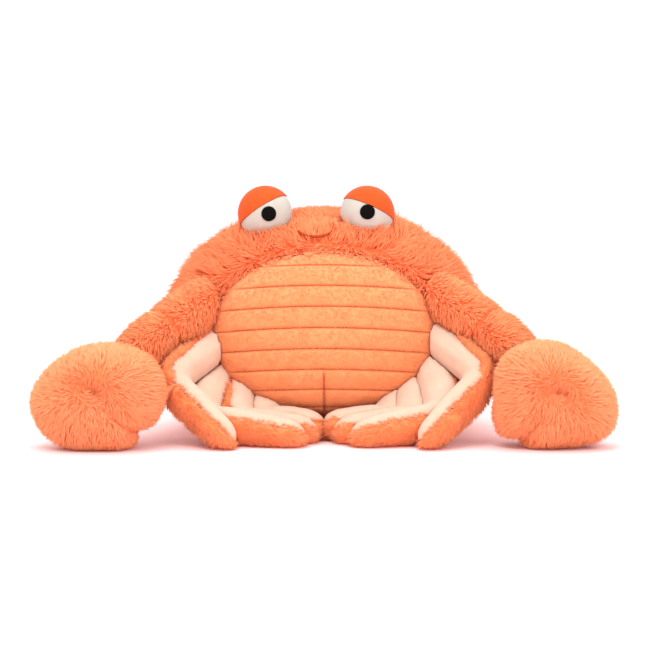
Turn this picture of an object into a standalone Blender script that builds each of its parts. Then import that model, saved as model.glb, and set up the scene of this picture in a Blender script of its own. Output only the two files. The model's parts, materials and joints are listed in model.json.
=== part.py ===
"""A sitting plush crab: a long-pile body, a quilted belly, two clawed arms and eight bent legs.

The crab sits on a flat base at z = 0 and faces -Y. Its right side is on -X. Each stuffed piece is one
closed solid, and pieces that press on each other are trimmed to a small even gap.
"""

import math
from dataclasses import dataclass

import bmesh
import bpy
from mathutils import Vector

MM = 0.001

# Gap between pieces that touch, and the slack by which a cutter is larger than its piece
SEAM_GAP = 0.3 * MM
FACET_SLACK = 0.1 * MM
WELD_DISTANCE = 0.003 * MM

# Body: a domed cushion, wider than it is deep, with a flat base
BODY_HALF_WIDTH = 120.5 * MM
BODY_FRONT_DEPTH = 73 * MM
BODY_BACK_DEPTH = 72 * MM
BODY_MID_HEIGHT = 75 * MM
BODY_TOP_HEIGHT = 170 * MM
BODY_BASE_SINK = 7 * MM
BODY_CENTRE_Y = 15 * MM
BODY_TOP_LEAN = 8 * MM
BODY_SIDE_FULLNESS = 2.0
BODY_FRONT_FULLNESS = 2.4
BODY_BACK_FULLNESS = 2.1
BODY_BASE_FULLNESS = 2.6
BODY_SEGMENTS = 36
BODY_RINGS = 22

# Belly: an oval quilted pad on the front of the body
BELLY_HALF_WIDTH = 83.5 * MM
BELLY_BOTTOM = 17.5 * MM
BELLY_TOP = 137 * MM
BELLY_RIM_PROUD = 2 * MM
BELLY_STUFFING = 7.5 * MM
BELLY_BACK_DEPTH = 16 * MM
CHANNEL_PITCH = 15.6 * MM
CHANNEL_DEPTH = 2.6 * MM
CHANNEL_BOW = 7 * MM
LOWEST_CHANNEL = 23 * MM
CHANNEL_ROWS = (0.0, 0.17, 0.5, 0.83)
BELLY_COLUMNS = 16
BELLY_END_HALF_WIDTH = 4 * MM
CREASE_TOP = 52 * MM
CREASE_DEPTH = 1.5 * MM

# Arms: stuffed tubes that leave the body under its long pile and end in the claws
ARM_RADIUS = 19 * MM
FOREARM_RADIUS = 17 * MM
WRIST_RADIUS = 14 * MM
ELBOW_PINCH = 0.84
ARM_BEND_RADIUS = 26 * MM
ARM_SIDES = 16

# Claws: flat eggs with a notch between two fingers and a dent in front
CLAW_HALF_DEPTH = 31 * MM
CLAW_FULLNESS = 2.3
CLAW_DENT_DEPTH = 9 * MM
CLAW_DENT_RADIUS = 14 * MM
CLAW_SLIT_DEPTH = 5 * MM
CLAW_FLOOR_PRESS = 1 * MM
CLAW_SEGMENTS = 24
CLAW_RINGS = 16

# Legs: bent stuffed tubes of two panels that meet at a seam along both edges
THIGH_HALF_WIDTH = 15 * MM
SHIN_HALF_WIDTH = 13.5 * MM
LEG_HALF_THICKNESS = 12.5 * MM
LEG_ROOT_SINK = 15 * MM
LEG_BEND_RADIUS = 18 * MM
LEG_TIP_ROUND = 13 * MM
LEG_TIP_SHARE = 0.74
KNEE_PINCH = 0.8
LEG_PANEL_POINTS = 5

# Eyes: round balls with a lid panel over the upper outer part and a flat round pupil
EYE_RADIUS = 20.3 * MM
EYE_DROP = 5 * MM
EYE_FORWARD = 23 * MM
LID_THICKNESS = 0.7 * MM
LID_TILT = 13
PUPIL_RADIUS = 5.7 * MM
PUPIL_THICKNESS = 0.9 * MM
EYE_SEGMENTS = 20
EYE_RINGS = 12

# Smile: one thick thread stitched on the body between the eyes
SMILE_THREAD_RADIUS = 1.1 * MM
SMILE_LIFT = 0.9 * MM

SUEDETTE = (0.96, 0.71, 0.53, 1.0)
WHITE_SUEDETTE = (0.87, 0.76, 0.63, 1.0)
LID_ORANGE = (0.95, 0.18, 0.05, 1.0)
PUPIL_BLACK = (0.012, 0.010, 0.009, 1.0)
BODY_ORANGE = (0.93, 0.24, 0.09, 1.0)
ARM_ORANGE = (0.94, 0.22, 0.08, 1.0)
CLAW_ORANGE = (0.96, 0.33, 0.14, 1.0)
LEG_ORANGE = (0.95, 0.31, 0.13, 1.0)
BELLY_APRICOT = (0.91, 0.34, 0.11, 1.0)
THREAD_ORANGE = (0.55, 0.09, 0.03, 1.0)


@dataclass(frozen=True)
class ArmShape:
    """Where one arm leaves the body and how far each joint lies from the one before, in millimetres."""

    side: str
    shoulder_azimuth: float
    shoulder_height: float
    elbow_offset: tuple
    wrist_offset: tuple
    claw_reach: tuple


@dataclass(frozen=True)
class ClawShape:
    """Outline radii every 30 degrees from +X toward +Z, the notch's direction and the dent's place."""

    side: str
    outline: tuple
    notch_angle: float
    dent_x: float
    dent_z: float


@dataclass(frozen=True)
class LegShape:
    """One leg: its root on the body, knee and tip offsets in millimetres, and both panel directions."""

    name: str
    root_azimuth: float
    root_height: float
    knee_offset: tuple
    tip_offset: tuple
    tip_height: float
    upper_facing: tuple
    lower_facing: tuple


@dataclass(frozen=True)
class EyeShape:
    """One eye: its place across the body, the lid's slope and the pupil's shift on the ball."""

    side: str
    centre_x: float
    lid_slope: float
    lid_height: float
    pupil_shift_x: float
    pupil_shift_z: float


ARMS = (
    ArmShape("right", -56, 103, (-23, -32, -21), (-20, -25, -11), (-25, -23)),
    ArmShape("left", 54, 107, (30, -31, -24), (19, -23, -8), (26, -18)),
)

CLAWS = (
    ClawShape("right", (48.4, 49.5, 43.3, 39.7, 38.8, 41.9, 48.6, 46.6, 41.5, 37.2, 41.9, 43.4), 322, -2, 11),
    ClawShape("left", (44.8, 38.3, 37.2, 40.8, 44.8, 47.7, 43.0, 47.7, 41.9, 36.8, 39.0, 48.4), 228, 4, 8),
)

LEGS = (
    LegShape("right_leg_1", -43, 67, (-32, -36, -21), (49, -38, 0), 5,
             (0.3, -0.92, -0.25), (0.68, 0.2, 0.7)),
    LegShape("left_leg_1", 44, 73, (35, -36, -25), (-49, -38, 0), 5,
             (-0.3, -0.92, -0.25), (-0.68, 0.2, 0.7)),
    LegShape("right_leg_2", -44, 45, (-11, -42, -28), (78, -20, 0), 8,
             (0.35, -0.9, 0.1), (0.0, 0.5, 0.87)),
    LegShape("left_leg_2", 43, 52, (9, -42, -33), (-70, -18, 0), 8,
             (-0.35, -0.9, 0.1), (0.0, 0.5, 0.87)),
    LegShape("right_leg_3", -35, 31, (-2, -30, -18), (60, -12, 0), 9,
             (0.85, -0.5, 0.1), (0.0, 0.5, 0.87)),
    LegShape("left_leg_3", 36, 36, (-1, -30, -22), (-58, -12, 0), 9,
             (-0.4, -0.9, 0.1), (0.0, 0.5, 0.87)),
    LegShape("right_leg_4", -27, 22, (3, -20, -9), (45, -6, 0), 11,
             (0.3, -0.9, 0.2), (0.0, 0.5, 0.87)),
    LegShape("left_leg_4", 31, 28, (-7, -20, -14), (-51, -6, 0), 11,
             (-0.5, -0.85, 0.2), (0.0, 0.5, 0.87)),
)

EYES = (
    EyeShape("right", -44.5, 33, 2.5, 3.1, 0.8),
    EyeShape("left", 32.6, -24, 3.0, 0.0, 2.2),
)

# The smile's stitches across the face: x and the drop below the body's top in millimetres
SMILE_POINTS = ((-20, 17), (-16, 19.5), (-9, 21), (-3, 21), (4, 19), (7.5, 15), (7, 11.5))


def superellipse_side(share, fullness):
    """Return how wide a superellipse is at a share of its height."""
    inside = max(0.0, 1.0 - min(1.0, abs(share)) ** fullness)
    return inside ** (1.0 / fullness)


def body_section(height):
    """Return the body's half width, front depth, back depth and centre y at a height."""
    if height >= BODY_MID_HEIGHT:
        share = (height - BODY_MID_HEIGHT) / (BODY_TOP_HEIGHT - BODY_MID_HEIGHT)
        side = superellipse_side(share, BODY_SIDE_FULLNESS)
        front = superellipse_side(share, BODY_FRONT_FULLNESS)
        back = superellipse_side(share, BODY_BACK_FULLNESS)
        lean = BODY_TOP_LEAN * share
    else:
        share = (BODY_MID_HEIGHT - height) / (BODY_MID_HEIGHT + BODY_BASE_SINK)
        side = superellipse_side(share, BODY_BASE_FULLNESS)
        front = side
        back = side
        lean = 0.0
    return (
        BODY_HALF_WIDTH * side,
        BODY_FRONT_DEPTH * front,
        BODY_BACK_DEPTH * back,
        BODY_CENTRE_Y + lean,
    )


def body_point(azimuth, height):
    """Return the point of the body's front at an azimuth in degrees from -Y and at a height."""
    half_width, front, _, centre_y = body_section(height)
    angle = math.radians(azimuth)
    return Vector((half_width * math.sin(angle), centre_y - front * math.cos(angle), height))


def body_front_y(x, height):
    """Return y on the front of the body above a point across it."""
    half_width, front, _, centre_y = body_section(height)
    share = min(1.0, abs(x) / max(half_width, MM))
    return centre_y - front * math.sqrt(1.0 - share * share)


def new_collection(name):
    """Make a collection in the scene and return it."""
    made = bpy.data.collections.new(name)
    bpy.context.scene.collection.children.link(made)
    return made


def fabric(name, colour, roughness=0.9):
    """Make a plain matt fabric material."""
    material = bpy.data.materials.new(name)
    material.use_nodes = True
    shader = material.node_tree.nodes["Principled BSDF"]
    shader.inputs["Base Color"].default_value = colour
    shader.inputs["Roughness"].default_value = roughness
    shader.inputs["Metallic"].default_value = 0.0
    material.diffuse_color = colour
    return material


def face_outward(shape):
    """Turn every face of a closed shape outward."""
    bmesh.ops.recalc_face_normals(shape, faces=shape.faces)
    if shape.calc_volume(signed=True) < 0.0:
        bmesh.ops.reverse_faces(shape, faces=shape.faces)
    shape.normal_update()


def object_from_bmesh(name, shape, collection, material=None):
    """Turn a bmesh into an object with outward faces and smooth shading, and free the bmesh."""
    face_outward(shape)
    mesh = bpy.data.meshes.new(name)
    shape.to_mesh(mesh)
    shape.free()
    mesh.shade_smooth()
    if material:
        mesh.materials.append(material)
    made = bpy.data.objects.new(name, mesh)
    collection.objects.link(made)
    return made


def mark_as_cutter(cutter):
    """Keep a cutter out of renders and show it as wire."""
    cutter.hide_render = True
    cutter.display_type = "WIRE"
    return cutter


def shaped_ball(segments, rings, place):
    """Return a unit ball primitive whose every vertex is moved by a function."""
    shape = bmesh.new()
    bmesh.ops.create_uvsphere(shape, u_segments=segments, v_segments=rings, radius=1.0)
    for vertex in shape.verts:
        vertex.co = place(vertex.co.copy())
    return shape


def skin_rings(shape, rings, mirrored_from=None):
    """Join rings of points with split quads and close both ends.

    From the mirrored index on, the quads are split along their other diagonal.
    """
    loops = [[shape.verts.new(point) for point in ring] for ring in rings]
    count = len(loops[0])
    for lower, upper in zip(loops, loops[1:]):
        for i in range(count):
            j = (i + 1) % count
            if mirrored_from is not None and i >= mirrored_from:
                shape.faces.new((lower[i], lower[j], upper[i]))
                shape.faces.new((lower[j], upper[j], upper[i]))
            else:
                shape.faces.new((lower[i], lower[j], upper[j]))
                shape.faces.new((lower[i], upper[j], upper[i]))
    shape.faces.new(reversed(loops[0]))
    shape.faces.new(loops[-1])


def grow(shape, distance):
    """Move each vertex of a smooth closed shape outward by a distance."""
    face_outward(shape)
    moves = [(vertex, vertex.normal * distance) for vertex in shape.verts]
    for vertex, move in moves:
        vertex.co += move


def boxes_meet(first, second):
    """Tell whether two objects' bounding boxes overlap."""
    for axis in range(3):
        a = [vertex.co[axis] for vertex in first.data.vertices]
        b = [vertex.co[axis] for vertex in second.data.vertices]
        if max(a) < min(b) or max(b) < min(a):
            return False
    return True


def keep_largest_body(mesh):
    """Delete crumbs that a cut left on or beside the main body, and tidy its short edges."""
    shape = bmesh.new()
    shape.from_mesh(mesh)
    bmesh.ops.remove_doubles(shape, verts=shape.verts, dist=WELD_DISTANCE)
    bmesh.ops.dissolve_degenerate(shape, edges=shape.edges, dist=WELD_DISTANCE)
    unseen = set(shape.faces)
    bodies = []
    while unseen:
        stack = [unseen.pop()]
        body = list(stack)
        while stack:
            for edge in stack.pop().edges:
                if len(edge.link_faces) != 2:
                    continue
                for face in edge.link_faces:
                    if face in unseen:
                        unseen.remove(face)
                        body.append(face)
                        stack.append(face)
        bodies.append(body)
    bodies.sort(key=lambda body: sum(face.calc_area() for face in body))
    crumbs = [face for body in bodies[:-1] for face in body]
    bmesh.ops.delete(shape, geom=crumbs, context="FACES")
    bmesh.ops.triangulate(shape, faces=shape.faces)
    shape.to_mesh(mesh)
    shape.free()


def combine(piece, other, operation):
    """Apply one exact boolean to a piece."""
    modifier = piece.modifiers.new("cut", "BOOLEAN")
    modifier.operation = operation
    modifier.solver = "EXACT"
    modifier.use_self = True
    modifier.object = other
    graph = bpy.context.evaluated_depsgraph_get()
    result = bpy.data.meshes.new_from_object(piece.evaluated_get(graph))
    piece.modifiers.remove(modifier)
    old = piece.data
    piece.data = result
    bpy.data.meshes.remove(old)
    result.name = piece.name


def trim(piece, neighbours):
    """Cut a piece back to the seam gap from each neighbour that it meets."""
    for neighbour in neighbours:
        if boxes_meet(piece, neighbour):
            combine(piece, neighbour, "DIFFERENCE")
    keep_largest_body(piece.data)


def bend_path(start, corner, end, radius):
    """Return a function of a share from 0 to 2 giving point and tangent on a path with a round corner.

    Shares 0 to 1 run to the middle of the bend, and shares 1 to 2 run from there to the end.
    """
    first = (corner - start).normalized()
    second = (end - corner).normalized()
    half_turn = 0.5 * first.angle(second)
    reach = min(radius * math.tan(half_turn), 0.6 * (corner - start).length, 0.6 * (end - corner).length)
    real_radius = reach / math.tan(half_turn)
    axis = first.cross(second).normalized()
    inward = axis.cross(first)
    centre = corner - first * reach + inward * real_radius
    arc = real_radius * half_turn
    lengths = ((corner - start).length - reach, (end - corner).length - reach)

    def at(share):
        if share <= 1.0:
            along = share * (lengths[0] + arc)
            if along <= lengths[0]:
                return start + first * along, first
            turned = (along - lengths[0]) / real_radius
        else:
            along = (share - 1.0) * (lengths[1] + arc)
            if along >= arc:
                return corner + second * (reach + along - arc), second
            turned = half_turn + along / real_radius
        outward = -inward * math.cos(turned) + first * math.sin(turned)
        tangent = first * math.cos(turned) + inward * math.sin(turned)
        return centre + outward * real_radius, tangent

    return at


def on_floor(point):
    """Flatten what would sink into the floor."""
    return Vector((point.x, point.y, max(0.0, point.z)))


def build_body(collection, material, extra=0.0, name="body_shell"):
    """Build the domed body with its flat base, or a cutter grown by an extra distance."""

    def place(unit):
        if unit.z >= 0.0:
            height = BODY_MID_HEIGHT + (BODY_TOP_HEIGHT - BODY_MID_HEIGHT) * unit.z
        else:
            height = BODY_MID_HEIGHT + (BODY_MID_HEIGHT + BODY_BASE_SINK) * unit.z
        half_width, front, back, centre_y = body_section(height)
        flat = math.hypot(unit.x, unit.y)
        if flat < 1e-6:
            return Vector((0.0, centre_y, height))
        depth = front if unit.y < 0.0 else back
        return Vector((half_width * unit.x / flat, centre_y + depth * unit.y / flat, height))

    shape = shaped_ball(BODY_SEGMENTS, BODY_RINGS, place)
    if extra:
        grow(shape, extra)
    else:
        cut = bmesh.ops.bisect_plane(
            shape,
            geom=shape.verts[:] + shape.edges[:] + shape.faces[:],
            plane_co=(0, 0, 0),
            plane_no=(0, 0, 1),
            clear_inner=True,
        )
        rim = [item for item in cut["geom_cut"] if isinstance(item, bmesh.types.BMEdge)]
        bmesh.ops.contextual_create(shape, geom=rim)
    return object_from_bmesh(name, shape, collection, material)


def belly_rows():
    """Return the belly's rows: height on the centre line and share of the channel's swell."""
    step = 0.5 * MM
    arc = 0.0
    height = LOWEST_CHANNEL
    groove_heights = [height]
    while height < BELLY_TOP:
        slope = (body_front_y(0, height + step) - body_front_y(0, height)) / step
        arc += step * math.hypot(1.0, slope)
        height += step
        if arc >= CHANNEL_PITCH:
            groove_heights.append(height)
            arc -= CHANNEL_PITCH
    if BELLY_TOP - groove_heights[-1] > 0.3 * CHANNEL_PITCH:
        groove_heights.append(BELLY_TOP)
    else:
        groove_heights[-1] = BELLY_TOP
    rows = [(BELLY_BOTTOM, 0.0), (0.5 * (BELLY_BOTTOM + LOWEST_CHANNEL), 0.6)]
    for low, high in zip(groove_heights, groove_heights[1:]):
        for share in CHANNEL_ROWS:
            swell = 1.0 - abs(2.0 * share - 1.0) ** 3
            rows.append((low + share * (high - low), swell))
    rows.append((BELLY_TOP, 0.0))
    return rows


def belly_half_width(height):
    """Return the oval's half width at a height."""
    middle = 0.5 * (BELLY_TOP + BELLY_BOTTOM)
    share = (height - middle) / (0.5 * (BELLY_TOP - BELLY_BOTTOM))
    return BELLY_HALF_WIDTH * math.sqrt(max(0.0, 1.0 - share * share))


def belly_point(x, height, swell):
    """Return the quilted surface's point over the body, with the channel's swell and the lower crease."""
    middle = 0.5 * (BELLY_TOP + BELLY_BOTTOM)
    across = x / BELLY_HALF_WIDTH
    up = (height - middle) / (0.5 * (BELLY_TOP - BELLY_BOTTOM))
    inner = max(0.0, 1.0 - across * across - up * up)
    proud = BELLY_RIM_PROUD + BELLY_STUFFING * math.sqrt(inner) + CHANNEL_DEPTH * swell * min(1.0, 4 * inner)
    if abs(x) < MM and height < CREASE_TOP:
        proud -= CREASE_DEPTH
    return Vector((x, body_front_y(x, height) - proud, height))


def build_belly(collection, material, body_cutter):
    """Build the oval pad with its quilted channels, and seat it on the body."""
    shape = bmesh.new()
    rows = []
    for centre_height, swell in belly_rows():
        half = belly_half_width(centre_height)
        for _ in range(6):
            drop = CHANNEL_BOW * (half / BELLY_HALF_WIDTH) ** 2
            lowered = max(BELLY_BOTTOM, centre_height - drop)
            half = 0.5 * (half + belly_half_width(lowered))
        half = max(half, BELLY_END_HALF_WIDTH)
        row = []
        for column in range(BELLY_COLUMNS + 1):
            x = half * math.sin(0.5 * math.pi * (2.0 * column / BELLY_COLUMNS - 1.0))
            height = centre_height - CHANNEL_BOW * (x / BELLY_HALF_WIDTH) ** 2
            row.append(shape.verts.new(belly_point(x, max(BELLY_BOTTOM, height), swell)))
        rows.append(row)
    for lower, upper in zip(rows, rows[1:]):
        for i in range(BELLY_COLUMNS):
            shape.faces.new((lower[i], lower[i + 1], upper[i + 1], upper[i]))
    rim = rows[0][:] + [row[-1] for row in rows[1:-1]] + rows[-1][::-1] + [row[0] for row in rows[-2:0:-1]]
    back_y = max(vertex.co.y for vertex in rim) + BELLY_BACK_DEPTH
    back = [shape.verts.new((vertex.co.x, back_y, vertex.co.z)) for vertex in rim]
    for i in range(len(rim)):
        j = (i + 1) % len(rim)
        shape.faces.new((rim[i], rim[j], back[j], back[i]))
    shape.faces.new(back)
    belly = object_from_bmesh("belly_panel", shape, collection, material)
    trim(belly, [body_cutter])
    return belly


def build_belly_cutter(belly, collection):
    """Make a cutter that clears the belly by the seam gap."""
    shape = bmesh.new()
    shape.from_mesh(belly.data)
    grow(shape, SEAM_GAP + FACET_SLACK)
    return mark_as_cutter(object_from_bmesh("cutter_belly", shape, collection))


def arm_joints(arm):
    """Return the shoulder, elbow and wrist of one arm."""
    shoulder = body_point(arm.shoulder_azimuth, arm.shoulder_height * MM)
    elbow = shoulder + Vector(arm.elbow_offset) * MM
    wrist = elbow + Vector(arm.wrist_offset) * MM
    return shoulder, elbow, wrist


def claw_centre(arm, claw):
    """Return the middle of a claw that hangs from its wrist and rests on the floor."""
    wrist = arm_joints(arm)[2]
    lowest = claw.outline[3 * len(claw.outline) // 4] * MM
    across, forward = arm.claw_reach
    return Vector((wrist.x + across * MM, wrist.y + forward * MM, lowest - CLAW_FLOOR_PRESS))


def build_arm(arm, claw, collection, material):
    """Build one arm as a stuffed tube that is pinched by the elbow's stitches."""
    shoulder, elbow, wrist = arm_joints(arm)
    inside = Vector((0.0, BODY_CENTRE_Y, shoulder.z))
    root = shoulder + (inside - shoulder).normalized() * ARM_RADIUS
    end = wrist + (claw_centre(arm, claw) - wrist).normalized() * (1.2 * WRIST_RADIUS)
    path = bend_path(root, elbow, end, ARM_BEND_RADIUS)
    profile = (
        (0.0, 0.8 * ARM_RADIUS),
        (0.12, ARM_RADIUS),
        (0.45, 1.04 * ARM_RADIUS),
        (0.72, ARM_RADIUS),
        (0.9, 0.94 * ARM_RADIUS),
        (1.0, ELBOW_PINCH * ARM_RADIUS),
        (1.1, 0.98 * FOREARM_RADIUS),
        (1.3, 1.06 * FOREARM_RADIUS),
        (1.6, FOREARM_RADIUS),
        (1.85, 1.05 * WRIST_RADIUS),
        (2.0, 0.8 * WRIST_RADIUS),
    )
    rings = []
    for share, radius in profile:
        centre, tangent = path(share)
        across = tangent.cross(Vector((0, 0, 1))).normalized()
        up = across.cross(tangent)
        rings.append(
            [
                centre
                + across * (radius * math.cos(turn))
                + up * (radius * math.sin(turn))
                for turn in (2 * math.pi * i / ARM_SIDES for i in range(ARM_SIDES))
            ]
        )
    shape = bmesh.new()
    skin_rings(shape, rings)
    return object_from_bmesh(f"{arm.side}_arm", shape, collection, material)


def periodic_value(samples, angle):
    """Read a closed run of evenly spaced samples at an angle in degrees, with a smooth curve."""
    place = (angle % 360.0) / 360.0 * len(samples)
    index = int(place)
    part = place - index
    before, here, after, beyond = (samples[(index + k) % len(samples)] for k in (-1, 0, 1, 2))
    rise = 0.5 * (after - before)
    next_rise = 0.5 * (beyond - here)
    square, cube = part * part, part * part * part
    return (
        here * (2 * cube - 3 * square + 1)
        + rise * (cube - 2 * square + part)
        + after * (3 * square - 2 * cube)
        + next_rise * (cube - square)
    )


def build_claw(arm, claw, collection, material, extra=0.0, name=None):
    """Build one claw: an egg seen from the front, with a dent, a slit and a notch."""
    centre = claw_centre(arm, claw)
    notch = math.radians(claw.notch_angle)
    dent = Vector((claw.dent_x, 0.0, claw.dent_z)) * MM

    def place(unit):
        # The ball's pole points along -Y, so that its rings lie round the dent
        facing = unit.z
        turn = math.atan2(unit.y, unit.x) + notch
        planar = superellipse_side(facing, CLAW_FULLNESS)
        radius = periodic_value(claw.outline, math.degrees(turn)) * MM
        on_slit = math.cos(turn - notch) > math.cos(math.pi / CLAW_SEGMENTS)
        outline = Vector((math.cos(turn), 0.0, math.sin(turn))) * (radius * planar)
        offset = outline + Vector((0.0, -CLAW_HALF_DEPTH * facing, 0.0))
        if facing > 0.0:
            spread = outline.length / CLAW_DENT_RADIUS
            offset += dent * (1.0 - planar) ** 2
            offset.y += CLAW_DENT_DEPTH * math.exp(-spread * spread)
        if on_slit and 0.1 < planar:
            offset *= 1.0 - CLAW_SLIT_DEPTH / offset.length
        return on_floor(centre + offset)

    shape = shaped_ball(CLAW_SEGMENTS, CLAW_RINGS, place)
    if extra:
        grow(shape, extra)
    return object_from_bmesh(name or f"{claw.side}_claw", shape, collection, material)


def leg_stations(leg):
    """Return centre, tangent, facing, half width and half thickness along one leg."""
    root = body_point(leg.root_azimuth, leg.root_height * MM)
    knee = root + Vector(leg.knee_offset) * MM
    tip = knee + Vector(leg.tip_offset) * MM
    tip.z = leg.tip_height * MM
    sunk_root = root - (knee - root).normalized() * LEG_ROOT_SINK
    path = bend_path(sunk_root, knee, tip, LEG_BEND_RADIUS)
    upper_facing = Vector(leg.upper_facing).normalized()
    lower_facing = Vector(leg.lower_facing).normalized()
    lower_length = (tip - knee).length
    shares = (0.0, 0.2, 0.45, 0.7, 0.88, 1.0, 1.1, 1.25, 1.45, 1.65)
    tip_shares = [2.0 - LEG_TIP_ROUND / lower_length * k for k in (1.0, 0.5, 0.18, 0.0)]
    shares = [share for share in shares if share < tip_shares[0] - 0.05] + tip_shares
    stations = []
    for share in shares:
        centre, tangent = path(share)
        blend = min(1.0, max(0.0, (share - 0.75) / 0.5))
        blend = blend * blend * (3 - 2 * blend)
        facing = upper_facing.lerp(lower_facing, blend)
        facing = (facing - tangent * facing.dot(tangent)).normalized()
        size = 1.0
        if share < 0.3:
            size = 0.82 + 0.6 * share
        elif share > 1.3:
            size = 1.0 - (1.0 - LEG_TIP_SHARE) * ((share - 1.3) / 0.7) ** 1.6
        to_tip = (2.0 - share) * lower_length / LEG_TIP_ROUND
        if to_tip < 1.0:
            size *= math.sqrt(max(0.06, 1.0 - (1.0 - to_tip) ** 2))
        pinch = 1.0 - (1.0 - KNEE_PINCH) * math.exp(-(((share - 1.0) / 0.09) ** 2))
        half_width = (THIGH_HALF_WIDTH + (SHIN_HALF_WIDTH - THIGH_HALF_WIDTH) * blend) * size
        stations.append((centre, tangent, facing, half_width, LEG_HALF_THICKNESS * size * pinch))
    return stations


def build_leg_panel(leg, side, collection, material, name):
    """Build one panel of a leg with its half of the stuffing: side +1 faces inward, side -1 outward."""
    rings = []
    for centre, tangent, facing, half_width, half_thickness in leg_stations(leg):
        across = tangent.cross(facing)
        lift = facing * (side * 0.5 * SEAM_GAP)
        ring = []
        for k in range(LEG_PANEL_POINTS + 1):
            turn = math.pi * k / LEG_PANEL_POINTS
            offset = across * (half_width * math.cos(turn))
            offset += facing * (side * half_thickness * math.sin(turn))
            ring.append(centre + lift + offset)
        rings.append(ring)
    shape = bmesh.new()
    skin_rings(shape, rings)
    return object_from_bmesh(name, shape, collection, material)


def build_leg_cutter(leg, collection):
    """Build the whole leg's outer shape, grown by the seam gap, to trim its neighbours."""
    sides = 2 * LEG_PANEL_POINTS
    rings = []
    for centre, tangent, facing, half_width, half_thickness in leg_stations(leg):
        across = tangent.cross(facing)
        ring = []
        for k in range(sides):
            turn = 2 * math.pi * k / sides
            offset = across * (half_width * math.cos(turn)) + facing * (half_thickness * math.sin(turn))
            ring.append(centre + offset)
        rings.append(ring)
    shape = bmesh.new()
    skin_rings(shape, rings, mirrored_from=LEG_PANEL_POINTS)
    grow(shape, 1.5 * SEAM_GAP + FACET_SLACK)
    return mark_as_cutter(object_from_bmesh(f"cutter_{leg.name}", shape, collection))


def floor_cutter(collection):
    """Make a slab below z = 0 that keeps the legs on the floor."""
    shape = bmesh.new()
    bmesh.ops.create_cube(shape, size=1.0)
    for vertex in shape.verts:
        vertex.co.z = vertex.co.z * 0.1 - 0.05
    return mark_as_cutter(object_from_bmesh("cutter_floor", shape, collection))


def eye_ball_shape(centre, radius):
    """Return an eye-sized ball round a centre."""
    return shaped_ball(EYE_SEGMENTS, EYE_RINGS, lambda unit: centre + unit * radius)


def cut_ball(shape, point, normal):
    """Keep the part of a closed shape on the normal's side of a plane, and close the cut."""
    cut = bmesh.ops.bisect_plane(
        shape,
        geom=shape.verts[:] + shape.edges[:] + shape.faces[:],
        plane_co=point,
        plane_no=normal,
        clear_inner=True,
    )
    rim = [item for item in cut["geom_cut"] if isinstance(item, bmesh.types.BMEdge)]
    bmesh.ops.contextual_create(shape, geom=rim)


def build_eye(eye, collection, cutters, materials, body_cutter):
    """Build one eye: the ball, the lid panel over its upper outer part, and the pupil."""
    centre = Vector((eye.centre_x * MM, BODY_CENTRE_Y - EYE_FORWARD, BODY_TOP_HEIGHT - EYE_DROP))
    slope = math.radians(eye.lid_slope)
    tilt = math.radians(LID_TILT)
    lid_up = Vector((-math.sin(slope), 0.0, math.cos(slope))) * math.cos(tilt) + Vector((0, math.sin(tilt), 0))
    seam = centre + lid_up * (eye.lid_height * MM)

    ball = eye_ball_shape(centre, EYE_RADIUS)
    cut_ball(ball, seam - lid_up * (0.5 * SEAM_GAP), -lid_up)
    ball = object_from_bmesh(f"{eye.side}_eye_ball", ball, collection, materials["white"])

    lid = eye_ball_shape(centre, EYE_RADIUS + LID_THICKNESS)
    cut_ball(lid, seam + lid_up * (0.5 * SEAM_GAP), lid_up)
    lid = object_from_bmesh(f"{eye.side}_eye_lid", lid, collection, materials["lid"])

    trim(ball, [body_cutter])
    trim(lid, [body_cutter])

    shift = Vector((eye.pupil_shift_x * MM, 0.0, eye.pupil_shift_z * MM))
    toward = (Vector((0, -EYE_RADIUS, 0)) + shift).normalized()
    disc = bmesh.new()
    bmesh.ops.create_cone(
        disc, cap_ends=True, segments=24, radius1=PUPIL_RADIUS, radius2=PUPIL_RADIUS, depth=0.6 * EYE_RADIUS
    )
    turn = toward.to_track_quat("Z", "Y").to_matrix().to_4x4()
    for vertex in disc.verts:
        vertex.co = centre + turn @ vertex.co + toward * EYE_RADIUS
    pupil = object_from_bmesh(f"{eye.side}_pupil", disc, collection, materials["black"])
    outer = eye_ball_shape(centre, EYE_RADIUS + SEAM_GAP + PUPIL_THICKNESS)
    outer = mark_as_cutter(object_from_bmesh(f"cutter_{eye.side}_pupil_face", outer, cutters))
    inner = eye_ball_shape(centre, EYE_RADIUS + SEAM_GAP)
    inner = mark_as_cutter(object_from_bmesh(f"cutter_{eye.side}_pupil_back", inner, cutters))
    combine(pupil, outer, "INTERSECT")
    combine(pupil, inner, "DIFFERENCE")
    lid_cutter = eye_ball_shape(centre, EYE_RADIUS + LID_THICKNESS + SEAM_GAP + PUPIL_THICKNESS)
    cut_ball(lid_cutter, seam - lid_up * (0.5 * SEAM_GAP), lid_up)
    lid_cutter = mark_as_cutter(object_from_bmesh(f"cutter_{eye.side}_lid", lid_cutter, cutters))
    trim(pupil, [lid_cutter])


def build_smile(collection, material):
    """Build the stitched smile as one thread on the body's front."""
    curve = bpy.data.curves.new("smile", "CURVE")
    curve.dimensions = "3D"
    curve.bevel_depth = SMILE_THREAD_RADIUS
    curve.bevel_resolution = 2
    curve.use_fill_caps = True
    spline = curve.splines.new("POLY")
    spline.points.add(len(SMILE_POINTS) - 1)
    for point, (x, drop) in zip(spline.points, SMILE_POINTS):
        height = BODY_TOP_HEIGHT - drop * MM
        y = body_front_y(x * MM, height) - SMILE_THREAD_RADIUS - SMILE_LIFT
        point.co = (x * MM, y, height, 1.0)
    curve.materials.append(material)
    collection.objects.link(bpy.data.objects.new("smile", curve))


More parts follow.
